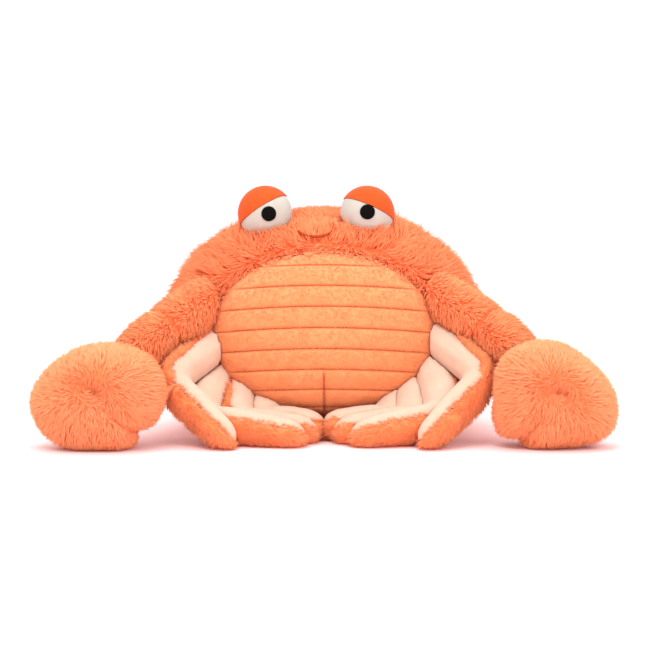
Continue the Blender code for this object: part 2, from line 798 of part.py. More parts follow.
def main():
    """Build every piece in the order in which it is pressed on its neighbours."""
    for old in list(bpy.data.objects):
        bpy.data.objects.remove(old)
    parts = new_collection("plush_crab")
    cutters = new_collection("cutters")

    body_material = fabric("orange_long_pile", BODY_ORANGE)
    build_body(parts, body_material)
    body_cutter = mark_as_cutter(build_body(cutters, None, SEAM_GAP + FACET_SLACK, "cutter_body"))
    belly = build_belly(parts, fabric("apricot_short_pile", BELLY_APRICOT), body_cutter)
    belly_cutter = build_belly_cutter(belly, cutters)
    floor = floor_cutter(cutters)

    # The legs in front keep their full form, and those behind give way to them
    suede = fabric("cream_suedette", SUEDETTE, 0.8)
    leg_fur = fabric("orange_short_pile", LEG_ORANGE)
    pressed = [body_cutter, belly_cutter, floor]
    for leg in LEGS:
        inner = build_leg_panel(leg, 1, parts, suede, f"{leg.name}_suede")
        outer = build_leg_panel(leg, -1, parts, leg_fur, f"{leg.name}_fur")
        trim(inner, pressed)
        trim(outer, pressed)
        pressed.append(build_leg_cutter(leg, cutters))

    arm_material = fabric("orange_arm_pile", ARM_ORANGE)
    claw_material = fabric("light_orange_pile", CLAW_ORANGE)
    for arm, claw in zip(ARMS, CLAWS):
        piece = build_claw(arm, claw, parts, claw_material)
        trim(piece, pressed)
        claw_cutter = build_claw(arm, claw, cutters, None, SEAM_GAP + FACET_SLACK, f"cutter_{claw.side}_claw")
        mark_as_cutter(claw_cutter)
        tube = build_arm(arm, claw, parts, arm_material)
        trim(tube, pressed + [claw_cutter])

    eye_materials = {
        "white": fabric("white_suedette", WHITE_SUEDETTE, 0.8),
        "lid": fabric("orange_suedette", LID_ORANGE, 0.8),
        "black": fabric("black_thread", PUPIL_BLACK, 0.6),
    }
    for eye in EYES:
        build_eye(eye, parts, cutters, eye_materials, body_cutter)
    build_smile(parts, fabric("smile_thread", THREAD_ORANGE, 0.7))


main()
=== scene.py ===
"""The looks of the plush crab: covers, pile, quilting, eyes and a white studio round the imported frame.

The crab sits on z = 0 and faces -Y, and its right side is on -X. Lengths are in metres, written as
millimetres times MM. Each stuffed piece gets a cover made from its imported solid, and the pile is
planted on the covers as fine closed tufts.
"""

import json
import logging
import math
from dataclasses import dataclass, field, replace
from enum import Enum
from typing import Callable

import bmesh
import bpy
import numpy as np
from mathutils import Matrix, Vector
from mathutils.bvhtree import BVHTree
from mathutils.kdtree import KDTree

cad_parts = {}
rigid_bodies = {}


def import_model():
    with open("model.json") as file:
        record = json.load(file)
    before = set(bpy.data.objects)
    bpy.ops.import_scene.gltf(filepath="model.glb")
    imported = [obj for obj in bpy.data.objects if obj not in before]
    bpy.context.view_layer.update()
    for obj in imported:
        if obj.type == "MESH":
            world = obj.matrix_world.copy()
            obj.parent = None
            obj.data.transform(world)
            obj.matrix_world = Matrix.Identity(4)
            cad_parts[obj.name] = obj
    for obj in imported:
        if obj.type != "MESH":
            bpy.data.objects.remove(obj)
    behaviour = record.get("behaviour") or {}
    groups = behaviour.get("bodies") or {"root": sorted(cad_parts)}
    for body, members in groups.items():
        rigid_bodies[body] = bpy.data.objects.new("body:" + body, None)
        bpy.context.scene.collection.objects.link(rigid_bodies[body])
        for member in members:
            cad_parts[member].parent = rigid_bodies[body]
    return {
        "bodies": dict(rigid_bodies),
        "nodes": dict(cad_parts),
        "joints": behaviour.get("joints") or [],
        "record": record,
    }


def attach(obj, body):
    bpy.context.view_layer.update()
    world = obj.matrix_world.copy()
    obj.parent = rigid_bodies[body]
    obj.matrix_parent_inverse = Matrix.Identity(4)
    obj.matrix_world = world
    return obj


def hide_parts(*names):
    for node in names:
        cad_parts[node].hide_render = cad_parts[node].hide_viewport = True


MM = 0.001
ROOT_BODY = "root"
BAKE_MAP = "OFBake"
STRAND = "strand"
# The belly's dark lines: stitching that is partly painted shade in its grooves, and the crease, which is
# painted shade.
SEAM_LINE_AND_SHADE = "seam"
FLOOR_GAP = 0.3 * MM
TUFT_ROOT_DEPTH = 0.4 * MM
TUFT_LIFT = 0.6 * MM
TUFT_FLOOR_GAP = 0.15 * MM
UNDER_SEED = 500
EDGE_SEED = 700
BORDER_SEED = 800
WAVE_BAND = 0.314

LOG = logging.getLogger("plush_crab")

Field = Callable[[np.ndarray], np.ndarray]
Flow = Callable[[np.ndarray, np.ndarray], np.ndarray]


class Side(Enum):
    """The crab's own sides."""

    RIGHT = "right"
    LEFT = "left"


def vec(*parts: float) -> np.ndarray:
    """Return a point or direction written in millimetres, in metres."""
    return np.array(parts, float) * MM


def unit(rows: np.ndarray) -> np.ndarray:
    """Return each row at length one."""
    return rows / np.maximum(np.linalg.norm(rows, axis=-1, keepdims=True), 1e-12)


def smooth_step(low: float, high: float, value: np.ndarray) -> np.ndarray:
    """Return 0 below low, 1 above high, and a smooth rise between.

    Args:
        low: Where the rise starts.
        high: Where the rise ends.
        value: The numbers to map.

    Returns:
        Numbers from 0 to 1.
    """
    share = np.clip((value - low) / (high - low), 0.0, 1.0)
    return share * share * (3.0 - 2.0 * share)


def ripple(points: np.ndarray, size: float, seed: int) -> np.ndarray:
    """Return a smooth random field, built from a few plane waves.

    Args:
        points: Rows of points in metres.
        size: The usual distance between a high and a low.
        seed: Which field.

    Returns:
        One number a point, mostly between -1 and 1.
    """
    rng = np.random.default_rng(seed)
    total = np.zeros(len(points))
    waves = 7
    for _ in range(waves):
        direction = unit(rng.normal(size=3)) * (math.pi / size) * rng.uniform(0.6, 1.5)
        total += np.sin(points @ direction + rng.uniform(0, 2 * math.pi))
    return total / math.sqrt(waves)


def select_only(obj: bpy.types.Object) -> None:
    """Make one object the selected and active one."""
    bpy.ops.object.select_all(action="DESELECT")
    obj.select_set(True)
    bpy.context.view_layer.objects.active = obj


def apply_modifier(obj: bpy.types.Object, kind: str, **settings: object) -> None:
    """Add a modifier, give it its settings and apply it.

    Args:
        obj: The object that takes it.
        kind: Blender's name of the modifier's type.
        settings: Values by the modifier's own names.
    """
    select_only(obj)
    modifier = obj.modifiers.new(kind.lower(), kind)
    for name, value in settings.items():
        setattr(modifier, name, value)
    bpy.ops.object.modifier_apply(modifier=modifier.name)


def read_rows(items: bpy.types.bpy_prop_collection, name: str, width: int, kind: type) -> np.ndarray:
    """Return one property of every item of a mesh as rows."""
    flat = np.empty(len(items) * width, kind)
    items.foreach_get(name, flat)
    return flat.reshape(-1, width)


def mesh_from_triangles(name: str, points: np.ndarray, triangles: np.ndarray) -> bpy.types.Object:
    """Make a smooth-shaded object from arrays of points and triangles."""
    mesh = bpy.data.meshes.new(name)
    mesh.vertices.add(len(points))
    mesh.vertices.foreach_set("co", points.astype(np.float32).ravel())
    mesh.loops.add(triangles.size)
    mesh.loops.foreach_set("vertex_index", triangles.astype(np.int32).ravel())
    mesh.polygons.add(len(triangles))
    mesh.polygons.foreach_set("loop_start", np.arange(0, triangles.size, 3, dtype=np.int32))
    mesh.polygons.foreach_set("use_smooth", np.ones(len(triangles), bool))
    mesh.update(calc_edges=True)
    made = bpy.data.objects.new(name, mesh)
    bpy.context.scene.collection.objects.link(made)
    return made


class Graph:
    """A short way to write a material's node tree."""

    def __init__(self, name: str) -> None:
        """Make an empty material with an output node."""
        self.material = bpy.data.materials.new(name)
        self.material.use_nodes = True
        self.tree = self.material.node_tree
        self.tree.nodes.clear()
        self.output = self.add("ShaderNodeOutputMaterial")

    def add(self, kind: str, inputs: dict | None = None, **settings: object) -> bpy.types.Node:
        """Add a node.

        Args:
            kind: The node's type.
            inputs: Values, or sockets to link from, by input name or number.
            settings: The node's own properties.

        Returns:
            The new node.
        """
        node = self.tree.nodes.new(kind)
        for name, value in settings.items():
            setattr(node, name, value)
        for name, value in (inputs or {}).items():
            if isinstance(value, bpy.types.NodeSocket):
                self.tree.links.new(value, node.inputs[name])
            else:
                node.inputs[name].default_value = value
        return node

    def place(self) -> bpy.types.NodeSocket:
        """Return the socket of the object's own coordinates."""
        return self.add("ShaderNodeTexCoord").outputs["Object"]

    def noise(
        self, size: float, detail: float = 3.0, place: bpy.types.NodeSocket | None = None
    ) -> bpy.types.NodeSocket:
        """Return the value socket of a noise whose blobs are about a size across."""
        inputs = {"Vector": place or self.place(), "Scale": 1.0 / size, "Detail": detail, "Roughness": 0.55}
        return self.add("ShaderNodeTexNoise", inputs).outputs[0]

    def spread(self, value: bpy.types.NodeSocket, low: float, high: float) -> bpy.types.NodeSocket:
        """Return a socket that maps low to 0 and high to 1, held between them."""
        inputs = {"Value": value, "From Min": low, "From Max": high}
        return self.add("ShaderNodeMapRange", inputs, clamp=True).outputs[0]

    def blend(self, share: bpy.types.NodeSocket, first: object, second: object) -> bpy.types.NodeSocket:
        """Return the socket of a colour between two colours or colour sockets."""
        node = self.add("ShaderNodeMix", data_type="RGBA")
        for index, value in ((0, share), (6, first), (7, second)):
            if isinstance(value, bpy.types.NodeSocket):
                self.tree.links.new(value, node.inputs[index])
            else:
                node.inputs[index].default_value = value
        return node.outputs[2]

    def times(self, first: bpy.types.NodeSocket, second: object) -> bpy.types.NodeSocket:
        """Return the socket of a product."""
        return self.add("ShaderNodeMath", {0: first, 1: second}, operation="MULTIPLY").outputs[0]

    def bump(
        self, height: bpy.types.NodeSocket, distance: float, strength: float = 1.0
    ) -> bpy.types.NodeSocket:
        """Return the normal socket of a bump of that real height."""
        inputs = {"Height": height, "Distance": distance, "Strength": strength}
        return self.add("ShaderNodeBump", inputs).outputs[0]

    def surface(self, **inputs: object) -> bpy.types.Material:
        """End the tree in one Principled shader and return the material."""
        shader = self.add("ShaderNodeBsdfPrincipled", {k.replace("_", " "): v for k, v in inputs.items()})
        self.tree.links.new(shader.outputs[0], self.output.inputs[0])
        return self.material


def srgb(red: float, green: float, blue: float) -> tuple[float, float, float, float]:
    """Return an opaque linear colour from a display colour of 0 to 255."""
    parts = [part / 255.0 for part in (red, green, blue)]
    line = [part / 12.92 if part <= 0.04045 else ((part + 0.055) / 1.055) ** 2.4 for part in parts]
    return (line[0], line[1], line[2], 1.0)


@dataclass(frozen=True)
class PileFinish:
    """Plush fibres: deep at the root, light at the tip, and mottled over the piece."""

    name: str
    root: tuple
    tip: tuple
    mottle: tuple
    mottle_size: float = 14 * MM
    mottle_share: float = 0.4
    tone_share: float = 0.35
    roughness: float = 0.8
    sheen: float = 0.7

    def make(self) -> bpy.types.Material:
        """Return the material of the tufts, which reads where on its tuft each point lies."""
        graph = Graph(self.name)
        strand = graph.add("ShaderNodeAttribute", attribute_name=STRAND, attribute_type="GEOMETRY")
        parts = graph.add("ShaderNodeSeparateColor", {0: strand.outputs["Color"]})
        along, tone, shade = parts.outputs
        fibre = graph.blend(graph.spread(along, 0.0, 0.85), self.root, self.tip)
        patches = graph.spread(graph.noise(self.mottle_size), 0.4, 0.72)
        fibre = graph.blend(graph.times(patches, self.mottle_share), fibre, self.mottle)
        fibre = graph.blend(graph.times(tone, self.tone_share), fibre, self.tip)
        fibre = graph.blend(shade, fibre, self.root)
        return graph.surface(
            Base_Color=fibre,
            Roughness=self.roughness,
            Sheen_Weight=self.sheen,
            Sheen_Roughness=0.5,
            Sheen_Tint=self.tip,
            Specular_IOR_Level=0.1,
        )


@dataclass(frozen=True)
class BackingFinish:
    """The knitted backing that shows between tufts: a deep tone with a fine irregular grain."""

    name: str
    colour: tuple
    deep: tuple

    def make(self) -> bpy.types.Material:
        """Return the material."""
        graph = Graph(self.name)
        grain = graph.noise(1.6 * MM, 4.0)
        colour = graph.blend(graph.spread(grain, 0.35, 0.65), self.deep, self.colour)
        return graph.surface(
            Base_Color=colour,
            Roughness=0.9,
            Specular_IOR_Level=0.1,
            Sheen_Weight=0.3,
            Normal=graph.bump(grain, 0.8 * MM),
        )


@dataclass(frozen=True)
class SuedetteFinish:
    """Smooth brushed suedette: an even tone with faint clouds, a fine nap and a soft sheen."""

    name: str
    colour: tuple
    cloud: tuple
    sheen: float = 0.2
    softness: float = 0.3

    def make(self) -> bpy.types.Material:
        """Return the material."""
        graph = Graph(self.name)
        clouds = graph.spread(graph.noise(11 * MM, 2.0), 0.35, 0.7)
        nap = graph.noise(0.7 * MM, 4.0)
        tone = graph.blend(graph.times(clouds, 0.6), self.colour, self.cloud)
        tone = graph.blend(graph.times(graph.spread(nap, 0.45, 0.75), 0.25), tone, self.cloud)
        rough = graph.add("ShaderNodeMapRange", {"Value": nap, "To Min": 0.78, "To Max": 0.95})
        dimples = graph.noise(7 * MM, 1.0)
        soft = graph.bump(dimples, 0.5 * MM, 0.6)
        fine = graph.add("ShaderNodeBump", {"Height": nap, "Distance": 0.12 * MM, "Normal": soft})
        return graph.surface(
            Base_Color=tone,
            Specular_IOR_Level=0.15,
            Roughness=rough.outputs[0],
            Sheen_Weight=self.sheen,
            Sheen_Roughness=0.45,
            Subsurface_Weight=self.softness,
            Subsurface_Radius=(1.0, 0.55, 0.35),
            Subsurface_Scale=4 * MM,
            Normal=fine.outputs[0],
        )


@dataclass(frozen=True)
class QuiltFinish:
    """The belly's sheared pile: speckled between its tufts, and dark along the sewn channels, where the dark
    line is partly the stitching and partly painted shade in the groove, and dark in the low crease, which is
    painted shade.
    """

    name: str
    colour: tuple
    speck: tuple
    stitch_and_shade: tuple

    def make(self) -> bpy.types.Material:
        """Return the material, which reads how near each point lies to a seam or the crease: the seam's dark
        line is partly stitching and partly painted shade in the groove, and the crease's dark is painted
        shade.
        """
        graph = Graph(self.name)
        seam = graph.add("ShaderNodeAttribute", attribute_name=SEAM_LINE_AND_SHADE, attribute_type="GEOMETRY")
        line = graph.add("ShaderNodeSeparateColor", {0: seam.outputs["Color"]}).outputs[0]
        squeezed = {"Vector": graph.place(), "Scale": (1.0, 1.0, 0.3)}
        upright = graph.add("ShaderNodeMapping", squeezed).outputs[0]
        pulls = graph.spread(graph.noise(1.7 * MM, 2.0, upright), 0.45, 0.75)
        specks = graph.spread(graph.noise(1.1 * MM, 2.0), 0.62, 0.72)
        clouds = graph.spread(graph.noise(18 * MM, 2.0), 0.4, 0.7)
        tone = graph.blend(graph.times(clouds, 0.15), self.colour, self.speck)
        tone = graph.blend(graph.times(pulls, 0.3), tone, self.speck)
        tone = graph.blend(graph.times(specks, 0.6), tone, self.speck)
        # Darken to the stitch colour: on the seams partly stitching and partly painted shade in the grooves,
        # in the crease painted shade.
        tone = graph.blend(line, tone, self.stitch_and_shade)
        grain = graph.noise(0.9 * MM, 3.0)
        return graph.surface(
            Base_Color=tone,
            Specular_IOR_Level=0.1,
            Roughness=0.88,
            Sheen_Weight=0.3,
            Normal=graph.bump(grain, 0.5 * MM),
        )


@dataclass(frozen=True)
class ThreadFinish:
    """Sewing thread: fine parallel fibres with a soft gloss."""

    name: str
    colour: tuple
    light: tuple
    pitch: float
    turn: float = 0.0
    roughness: float = 0.5

    def make(self) -> bpy.types.Material:
        """Return the material, with its fibres turned round Y by the given angle."""
        graph = Graph(self.name)
        rotation = {"Vector": graph.place(), "Rotation": (0.0, self.turn, 0.0)}
        turned = graph.add("ShaderNodeMapping", rotation).outputs[0]
        fibres = {"Vector": turned, "Scale": WAVE_BAND / self.pitch, "Distortion": 0.6, "Detail": 1.0}
        wave = graph.add("ShaderNodeTexWave", fibres, wave_type="BANDS", bands_direction="X")
        tone = graph.blend(graph.times(wave.outputs[1], 0.6), self.colour, self.light)
        return graph.surface(
            Base_Color=tone,
            Roughness=self.roughness,
            Specular_IOR_Level=0.06,
            Normal=graph.bump(wave.outputs[1], 0.15 * MM),
        )


BODY_PILE = PileFinish("body_pile", srgb(248, 110, 62), srgb(252, 144, 98), srgb(248, 116, 66))
ARM_PILE = PileFinish("arm_pile", srgb(250, 118, 68), srgb(253, 160, 110), srgb(250, 124, 72))
CLAW_PILE = PileFinish("claw_pile", srgb(250, 130, 80), srgb(252, 168, 120), srgb(250, 142, 90))
LEG_PILE = PileFinish("leg_pile", srgb(251, 126, 76), srgb(253, 168, 118), srgb(251, 136, 84))
BELLY_PILE = PileFinish(
    "belly_pile",
    srgb(240, 146, 93),
    srgb(242, 156, 104),
    srgb(234, 134, 82),
    mottle_size=9 * MM,
    mottle_share=0.1,
    tone_share=0.12,
)
BODY_BACKING = BackingFinish("body_backing", srgb(248, 112, 62), srgb(244, 100, 52))
CLAW_BACKING = BackingFinish("claw_backing", srgb(253, 144, 90), srgb(250, 128, 74))
# The third colour darkens the seams, partly stitching and partly painted shade in the grooves, and the
# crease, as painted shade.
BELLY_QUILT = QuiltFinish("belly_quilt", srgb(242, 150, 98), srgb(226, 122, 72), srgb(186, 88, 46))
CREAM_SUEDETTE = SuedetteFinish("cream_suedette", srgb(213, 181, 160), srgb(208, 169, 146))
WHITE_SUEDETTE = SuedetteFinish(
    "white_suedette", srgb(184, 181, 172), srgb(178, 173, 162), sheen=0.1, softness=0.0
)
LID_SUEDETTE = SuedetteFinish(
    "lid_suedette", srgb(208, 80, 29), srgb(200, 72, 25), sheen=0.05, softness=0.0
)
PUPIL_THREAD = ThreadFinish(
    "pupil_thread", srgb(6, 5, 4), srgb(16, 14, 12), pitch=0.45 * MM, turn=0.5, roughness=0.6
)
SMILE_THREAD = ThreadFinish(
    "smile_thread", srgb(168, 66, 30), srgb(196, 88, 46), pitch=0.6 * MM, turn=0.6
)
KNEE_THREAD = ThreadFinish(
    "knee_thread", srgb(190, 140, 108), srgb(210, 166, 134), pitch=0.4 * MM, roughness=0.7
)


class Skin:
    """A cover's surface as arrays, to plant pile on and to keep other pile out of."""

    def __init__(self, obj: bpy.types.Object) -> None:
        """Read the points, outward normals and triangles of an object's mesh."""
        mesh = obj.data
        mesh.calc_loop_triangles()
        self.points = read_rows(mesh.vertices, "co", 3, np.float32).astype(float)
        self.normals = read_rows(mesh.vertices, "normal", 3, np.float32).astype(float)
        self.triangles = read_rows(mesh.loop_triangles, "vertices", 3, np.int32)
        a, b, c = (self.points[self.triangles[:, k]] for k in range(3))
        self.areas = 0.5 * np.linalg.norm(np.cross(b - a, c - a), axis=1)
        self.tree = BVHTree.FromPolygons(self.points.tolist(), self.triangles.tolist())
        self.low = self.points.min(axis=0)
        self.high = self.points.max(axis=0)

    def plant(self, count: int, rng: np.random.Generator) -> tuple[np.ndarray, np.ndarray]:
        """Pick points all over the surface.

        Args:
            count: How many.
            rng: The seeded source of chance.

        Returns:
            The points and the surface's normals there.
        """
        chosen = rng.choice(len(self.areas), count, p=self.areas / self.areas.sum())
        corners = self.triangles[chosen]
        first = np.sqrt(rng.random((count, 1)))
        second = rng.random((count, 1))
        weights = (1.0 - first, first * (1.0 - second), first * second)
        roots = sum(w * self.points[corners[:, k]] for k, w in enumerate(weights))
        normals = sum(w * self.normals[corners[:, k]] for k, w in enumerate(weights))
        return roots, unit(normals)

    def near(self, points: np.ndarray, reach: float) -> np.ndarray:
        """Return which points lie in the box round this skin, widened by a reach."""
        return np.all((points > self.low - reach) & (points < self.high + reach), axis=1)

    def clear_of(self, points: np.ndarray, clearance: float) -> np.ndarray:
        """Return which points lie outside this skin by at least a clearance."""
        clear = np.ones(len(points), bool)
        for i in np.flatnonzero(self.near(points, clearance)):
            place, normal, _, _ = self.tree.find_nearest(points[i])
            clear[i] = (Vector(points[i]) - place).dot(normal) > clearance
        return clear

    def push_out(self, points: np.ndarray, clearance: float, reach: float) -> None:
        """Move points that lie inside this skin, or too near, out to a clearance, in place."""
        for i in np.flatnonzero(self.near(points, clearance)):
            place, normal, _, distance = self.tree.find_nearest(points[i])
            if place is None or distance > reach:
                continue
            if (Vector(points[i]) - place).dot(normal) < clearance:
                points[i] = place + normal * clearance


@dataclass(frozen=True)
class PileCut:
    """How a plush is made.

    Density is in tufts for each square millimetre. Leans, swirl and scatter are in degrees, and a lean
    is counted from upright. Clumping is how far tips are drawn to a neighbour, from 0 to 1. Joints are
    the shares of a tuft's length at which its stretches end. The skin share says how much a tuft is
    shaded like the cloth that it grows from.
    """

    density: float
    length: float
    width: float
    first_lean: float
    last_lean: float
    clump_size: float
    clumping: float
    swirl_size: float
    swirl: float
    scatter: float
    joints: tuple[float, ...] = (0.42, 1.0)
    lean_scatter: float = 5.0
    skin_share: float = 0.4


STRAIGHT = (1.0,)
LONG_CUT = PileCut(
    density=0.5,
    length=12.0 * MM,
    width=0.9 * MM,
    first_lean=40,
    last_lean=66,
    clump_size=4.0 * MM,
    clumping=0.36,
    swirl_size=13 * MM,
    swirl=40,
    scatter=12,
    lean_scatter=10.0,
)
LONG_UNDER_CUT = PileCut(
    density=0.34,
    length=9.5 * MM,
    width=1.3 * MM,
    first_lean=40,
    last_lean=52,
    clump_size=3.0 * MM,
    clumping=0.1,
    swirl_size=12 * MM,
    swirl=30,
    scatter=16,
    joints=STRAIGHT,
)
DENSE_CUT = PileCut(
    density=0.62,
    length=8.5 * MM,
    width=0.85 * MM,
    first_lean=46,
    last_lean=68,
    clump_size=2.4 * MM,
    clumping=0.12,
    swirl_size=20 * MM,
    swirl=24,
    scatter=9,
)
DENSE_UNDER_CUT = PileCut(
    density=0.36,
    length=7.0 * MM,
    width=1.3 * MM,
    first_lean=44,
    last_lean=56,
    clump_size=2.4 * MM,
    clumping=0.0,
    swirl_size=14 * MM,
    swirl=20,
    scatter=14,
    joints=STRAIGHT,
)
SHORT_CUT = PileCut(
    density=0.62,
    length=6.0 * MM,
    width=0.95 * MM,
    first_lean=30,
    last_lean=50,
    clump_size=2.2 * MM,
    clumping=0.1,
    swirl_size=12 * MM,
    swirl=18,
    scatter=14,
    joints=STRAIGHT,
)
EDGE_CUT = PileCut(
    density=0.85,
    length=3.8 * MM,
    width=0.95 * MM,
    first_lean=36,
    last_lean=56,
    clump_size=2.0 * MM,
    clumping=0.0,
    swirl_size=12 * MM,
    swirl=14,
    scatter=12,
    joints=STRAIGHT,
)
SHEARED_CUT = PileCut(
    density=0.75,
    length=2.2 * MM,
    width=0.9 * MM,
    first_lean=40,
    last_lean=60,
    clump_size=2.0 * MM,
    clumping=0.2,
    swirl_size=8 * MM,
    swirl=30,
    scatter=20,
    joints=STRAIGHT,
)


@dataclass
class Pile:
    """Plush planted on one cover as closed tufts, each three-sided with a flat side outward."""

    name: str
    slot: str
    cut: PileCut
    finish: PileFinish
    seed: int
    flow: Flow
    length: Field | None = None
    shade: Field | None = None
    keep: Field | None = None
    keep_off: list[tuple[Skin, float]] = field(default_factory=list)
    lie_over: list[tuple[Skin, float]] = field(default_factory=list)
    under: PileCut | None = None
    settle: Callable[[np.ndarray, np.random.Generator], None] | None = None

    def grow(self, skin: Skin, parts: int = 1) -> None:
        """Plant, comb and clump the tufts, and make them one or more pieces.

        Args:
            skin: The cover that they grow from.
            parts: Into how many pieces to share them, from the crab's front to its back.
        """
        if self.under is not None:
            seed = self.seed + UNDER_SEED
            below = replace(self, name=f"{self.name}_under", cut=self.under, under=None, seed=seed)
            below.grow(skin)
        rng = np.random.default_rng(self.seed)
        count = int(skin.areas.sum() / MM**2 * self.cut.density)
        roots, normals = skin.plant(count, rng)
        kept = np.ones(count, bool) if self.keep is None else self.keep(roots)
        for neighbour, clearance in self.keep_off:
            kept[kept] = neighbour.clear_of(roots[kept], clearance)
        roots, normals = roots[kept], normals[kept]
        paths = self.comb(roots, normals, rng)
        tones = rng.random(len(roots)) ** 1.5
        order = np.argsort(roots[:, 1], kind="stable")
        for index, group in enumerate(np.array_split(order, parts)):
            name = self.name if parts == 1 else f"{self.name}_{index + 1}"
            piece = self.make_tufts(name, paths[:, group], normals[group], tones[group], rng)
            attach(piece, ROOT_BODY)
            LOG.info("%s: %d tufts, %d faces", name, len(group), len(piece.data.polygons))

    def comb(self, roots: np.ndarray, normals: np.ndarray, rng: np.random.Generator) -> np.ndarray:
        """Return each tuft's points from root to tip, leaned, swirled, clumped and laid over neighbours."""
        cut = self.cut
        count = len(roots)
        along = self.flow(roots, normals)
        along = unit(along - normals * np.sum(along * normals, axis=1, keepdims=True))
        across = np.cross(normals, along)
        turn = math.radians(cut.swirl) * ripple(roots, cut.swirl_size, self.seed + 1)
        turn += math.radians(0.4 * cut.swirl) * ripple(roots, 0.35 * cut.swirl_size, self.seed + 2)
        turn += math.radians(cut.scatter) * rng.normal(size=count)
        combed = along * np.cos(turn)[:, None] + across * np.sin(turn)[:, None]
        sideways = np.cross(normals, combed)
        length = cut.length * rng.uniform(0.75, 1.1, count)
        if self.length is not None:
            length *= self.length(roots)
        lean_shift = cut.lean_scatter * rng.normal(size=count)
        curl = 0.1 * rng.normal(size=count) * length
        paths = [roots - normals * TUFT_ROOT_DEPTH]
        done = 0.0
        for share in cut.joints:
            middle = 0.5 * (done + share)
            lean = np.radians(cut.first_lean + (cut.last_lean - cut.first_lean) * middle + lean_shift)
            step = normals * np.cos(lean)[:, None] + combed * np.sin(lean)[:, None]
            bend = sideways * (curl * (1.0 if share < 1.0 else -1.0))[:, None]
            paths.append(paths[-1] + step * (length * (share - done))[:, None] + bend)
            done = share
        paths = np.array(paths)
        clumps = max(1, int(count / (cut.density * (cut.clump_size / MM) ** 2)))
        leaders = rng.choice(count, clumps, replace=False)
        nearest = self.nearest_leader(roots, leaders)
        for k, share in enumerate(cut.joints, 1):
            paths[k] += (paths[k][nearest] - paths[k]) * (cut.clumping * share**1.3)
            for neighbour, clearance in self.lie_over:
                neighbour.push_out(paths[k], clearance, 16 * MM)
            if self.settle is not None:
                self.settle(paths[k], rng)
            paths[k][:, 2] = np.maximum(paths[k][:, 2], TUFT_LIFT)
        return paths

    @staticmethod
    def nearest_leader(roots: np.ndarray, leaders: np.ndarray) -> np.ndarray:
        """Return the index of the clump leader nearest to each root."""
        tree = KDTree(len(leaders))
        for leader in leaders:
            tree.insert(roots[leader], int(leader))
        tree.balance()
        return np.array([tree.find(root)[1] for root in roots])

    def make_tufts(
        self, name: str, paths: np.ndarray, normals: np.ndarray, tones: np.ndarray, rng: np.random.Generator
    ) -> bpy.types.Object:
        """Build a closed three-sided tuft on each path, as one object.

        A tuft of one stretch is a thin pyramid. A bent one is a spindle, widest at its bend.
        """
        bent = len(paths) == 3
        count = paths.shape[1]
        tangents = unit(paths[-1] - paths[0])
        widths = self.cut.width * rng.uniform(0.7, 1.15, count)
        start = math.pi / 3 + 0.25 * rng.normal(size=count)
        sideways = unit(np.cross(tangents, normals))
        upward = np.cross(sideways, tangents)
        rows, shading = [], []
        if bent:
            rows.append(paths[0])
            shading.append(normals)
        for side in range(3):
            angle = start + 2 * math.pi * side / 3
            radial = upward * np.cos(angle)[:, None] + sideways * np.sin(angle)[:, None]
            rows.append(paths[-2] + radial * (0.5 * widths)[:, None])
            shading.append(unit(normals * self.cut.skin_share + radial * (1.0 - self.cut.skin_share)))
        rows.append(paths[-1])
        shading.append(unit(normals + tangents * 0.3))
        points = np.stack(rows, axis=1).reshape(-1, 3)
        points[:, 2] = np.maximum(points[:, 2], TUFT_FLOOR_GAP)
        per_tuft = len(rows)
        faces, places = tuft_pattern(bent)
        triangles = (faces[None] + np.arange(count)[:, None, None] * per_tuft).reshape(-1, 3)
        piece = mesh_from_triangles(name, points, triangles)
        grid = math.ceil(math.sqrt(count))
        cells = np.stack([np.arange(count) % grid, np.arange(count) // grid], axis=1)
        layout = (places[None] * 0.86 + 0.07 + cells[:, None, None]) / grid
        piece.data.uv_layers.new(name=BAKE_MAP).data.foreach_set("uv", layout.astype(np.float32).ravel())
        along = (0.0, 0.5, 0.5, 0.5, 1.0) if bent else (0.0, 0.0, 0.0, 1.0)
        colours = np.ones((count, per_tuft, 4), np.float32)
        colours[:, :, 0] = along
        colours[:, :, 1] = tones[:, None]
        colours[:, :, 2] = 0.0 if self.shade is None else self.shade(paths[0])[:, None]
        strand = piece.data.color_attributes.new(STRAND, "FLOAT_COLOR", "POINT")
        strand.data.foreach_set("color", colours.ravel())
        piece.data.normals_split_custom_set_from_vertices(np.stack(shading, axis=1).reshape(-1, 3).tolist())
        piece.data.materials.append(finish_of(self.finish))
        return piece


def tuft_pattern(bent: bool) -> tuple[np.ndarray, np.ndarray]:
    """Return one tuft's triangles, and each corner's place in its cell of the bake map."""
    faces, places = [], []
    ring, tip = ((1, 2, 3), 4) if bent else ((0, 1, 2), 3)
    for side in range(3):
        a, b = ring[side], ring[(side + 1) % 3]
        left, right = side / 3 + 0.02, (side + 1) / 3 - 0.02
        middle = 0.5 * (left + right)
        faces.append((a, b, tip))
        places.append(((left, 0.5), (right, 0.5), (middle, 1.0)))
        if bent:
            faces.append((b, a, 0))
            places.append(((right, 0.46), (left, 0.46), (middle, 0.0)))
    if not bent:
        faces.append((0, 2, 1))
        places.append(((0.1, 0.46), (0.9, 0.46), (0.5, 0.2)))
    return np.array(faces), np.array(places)


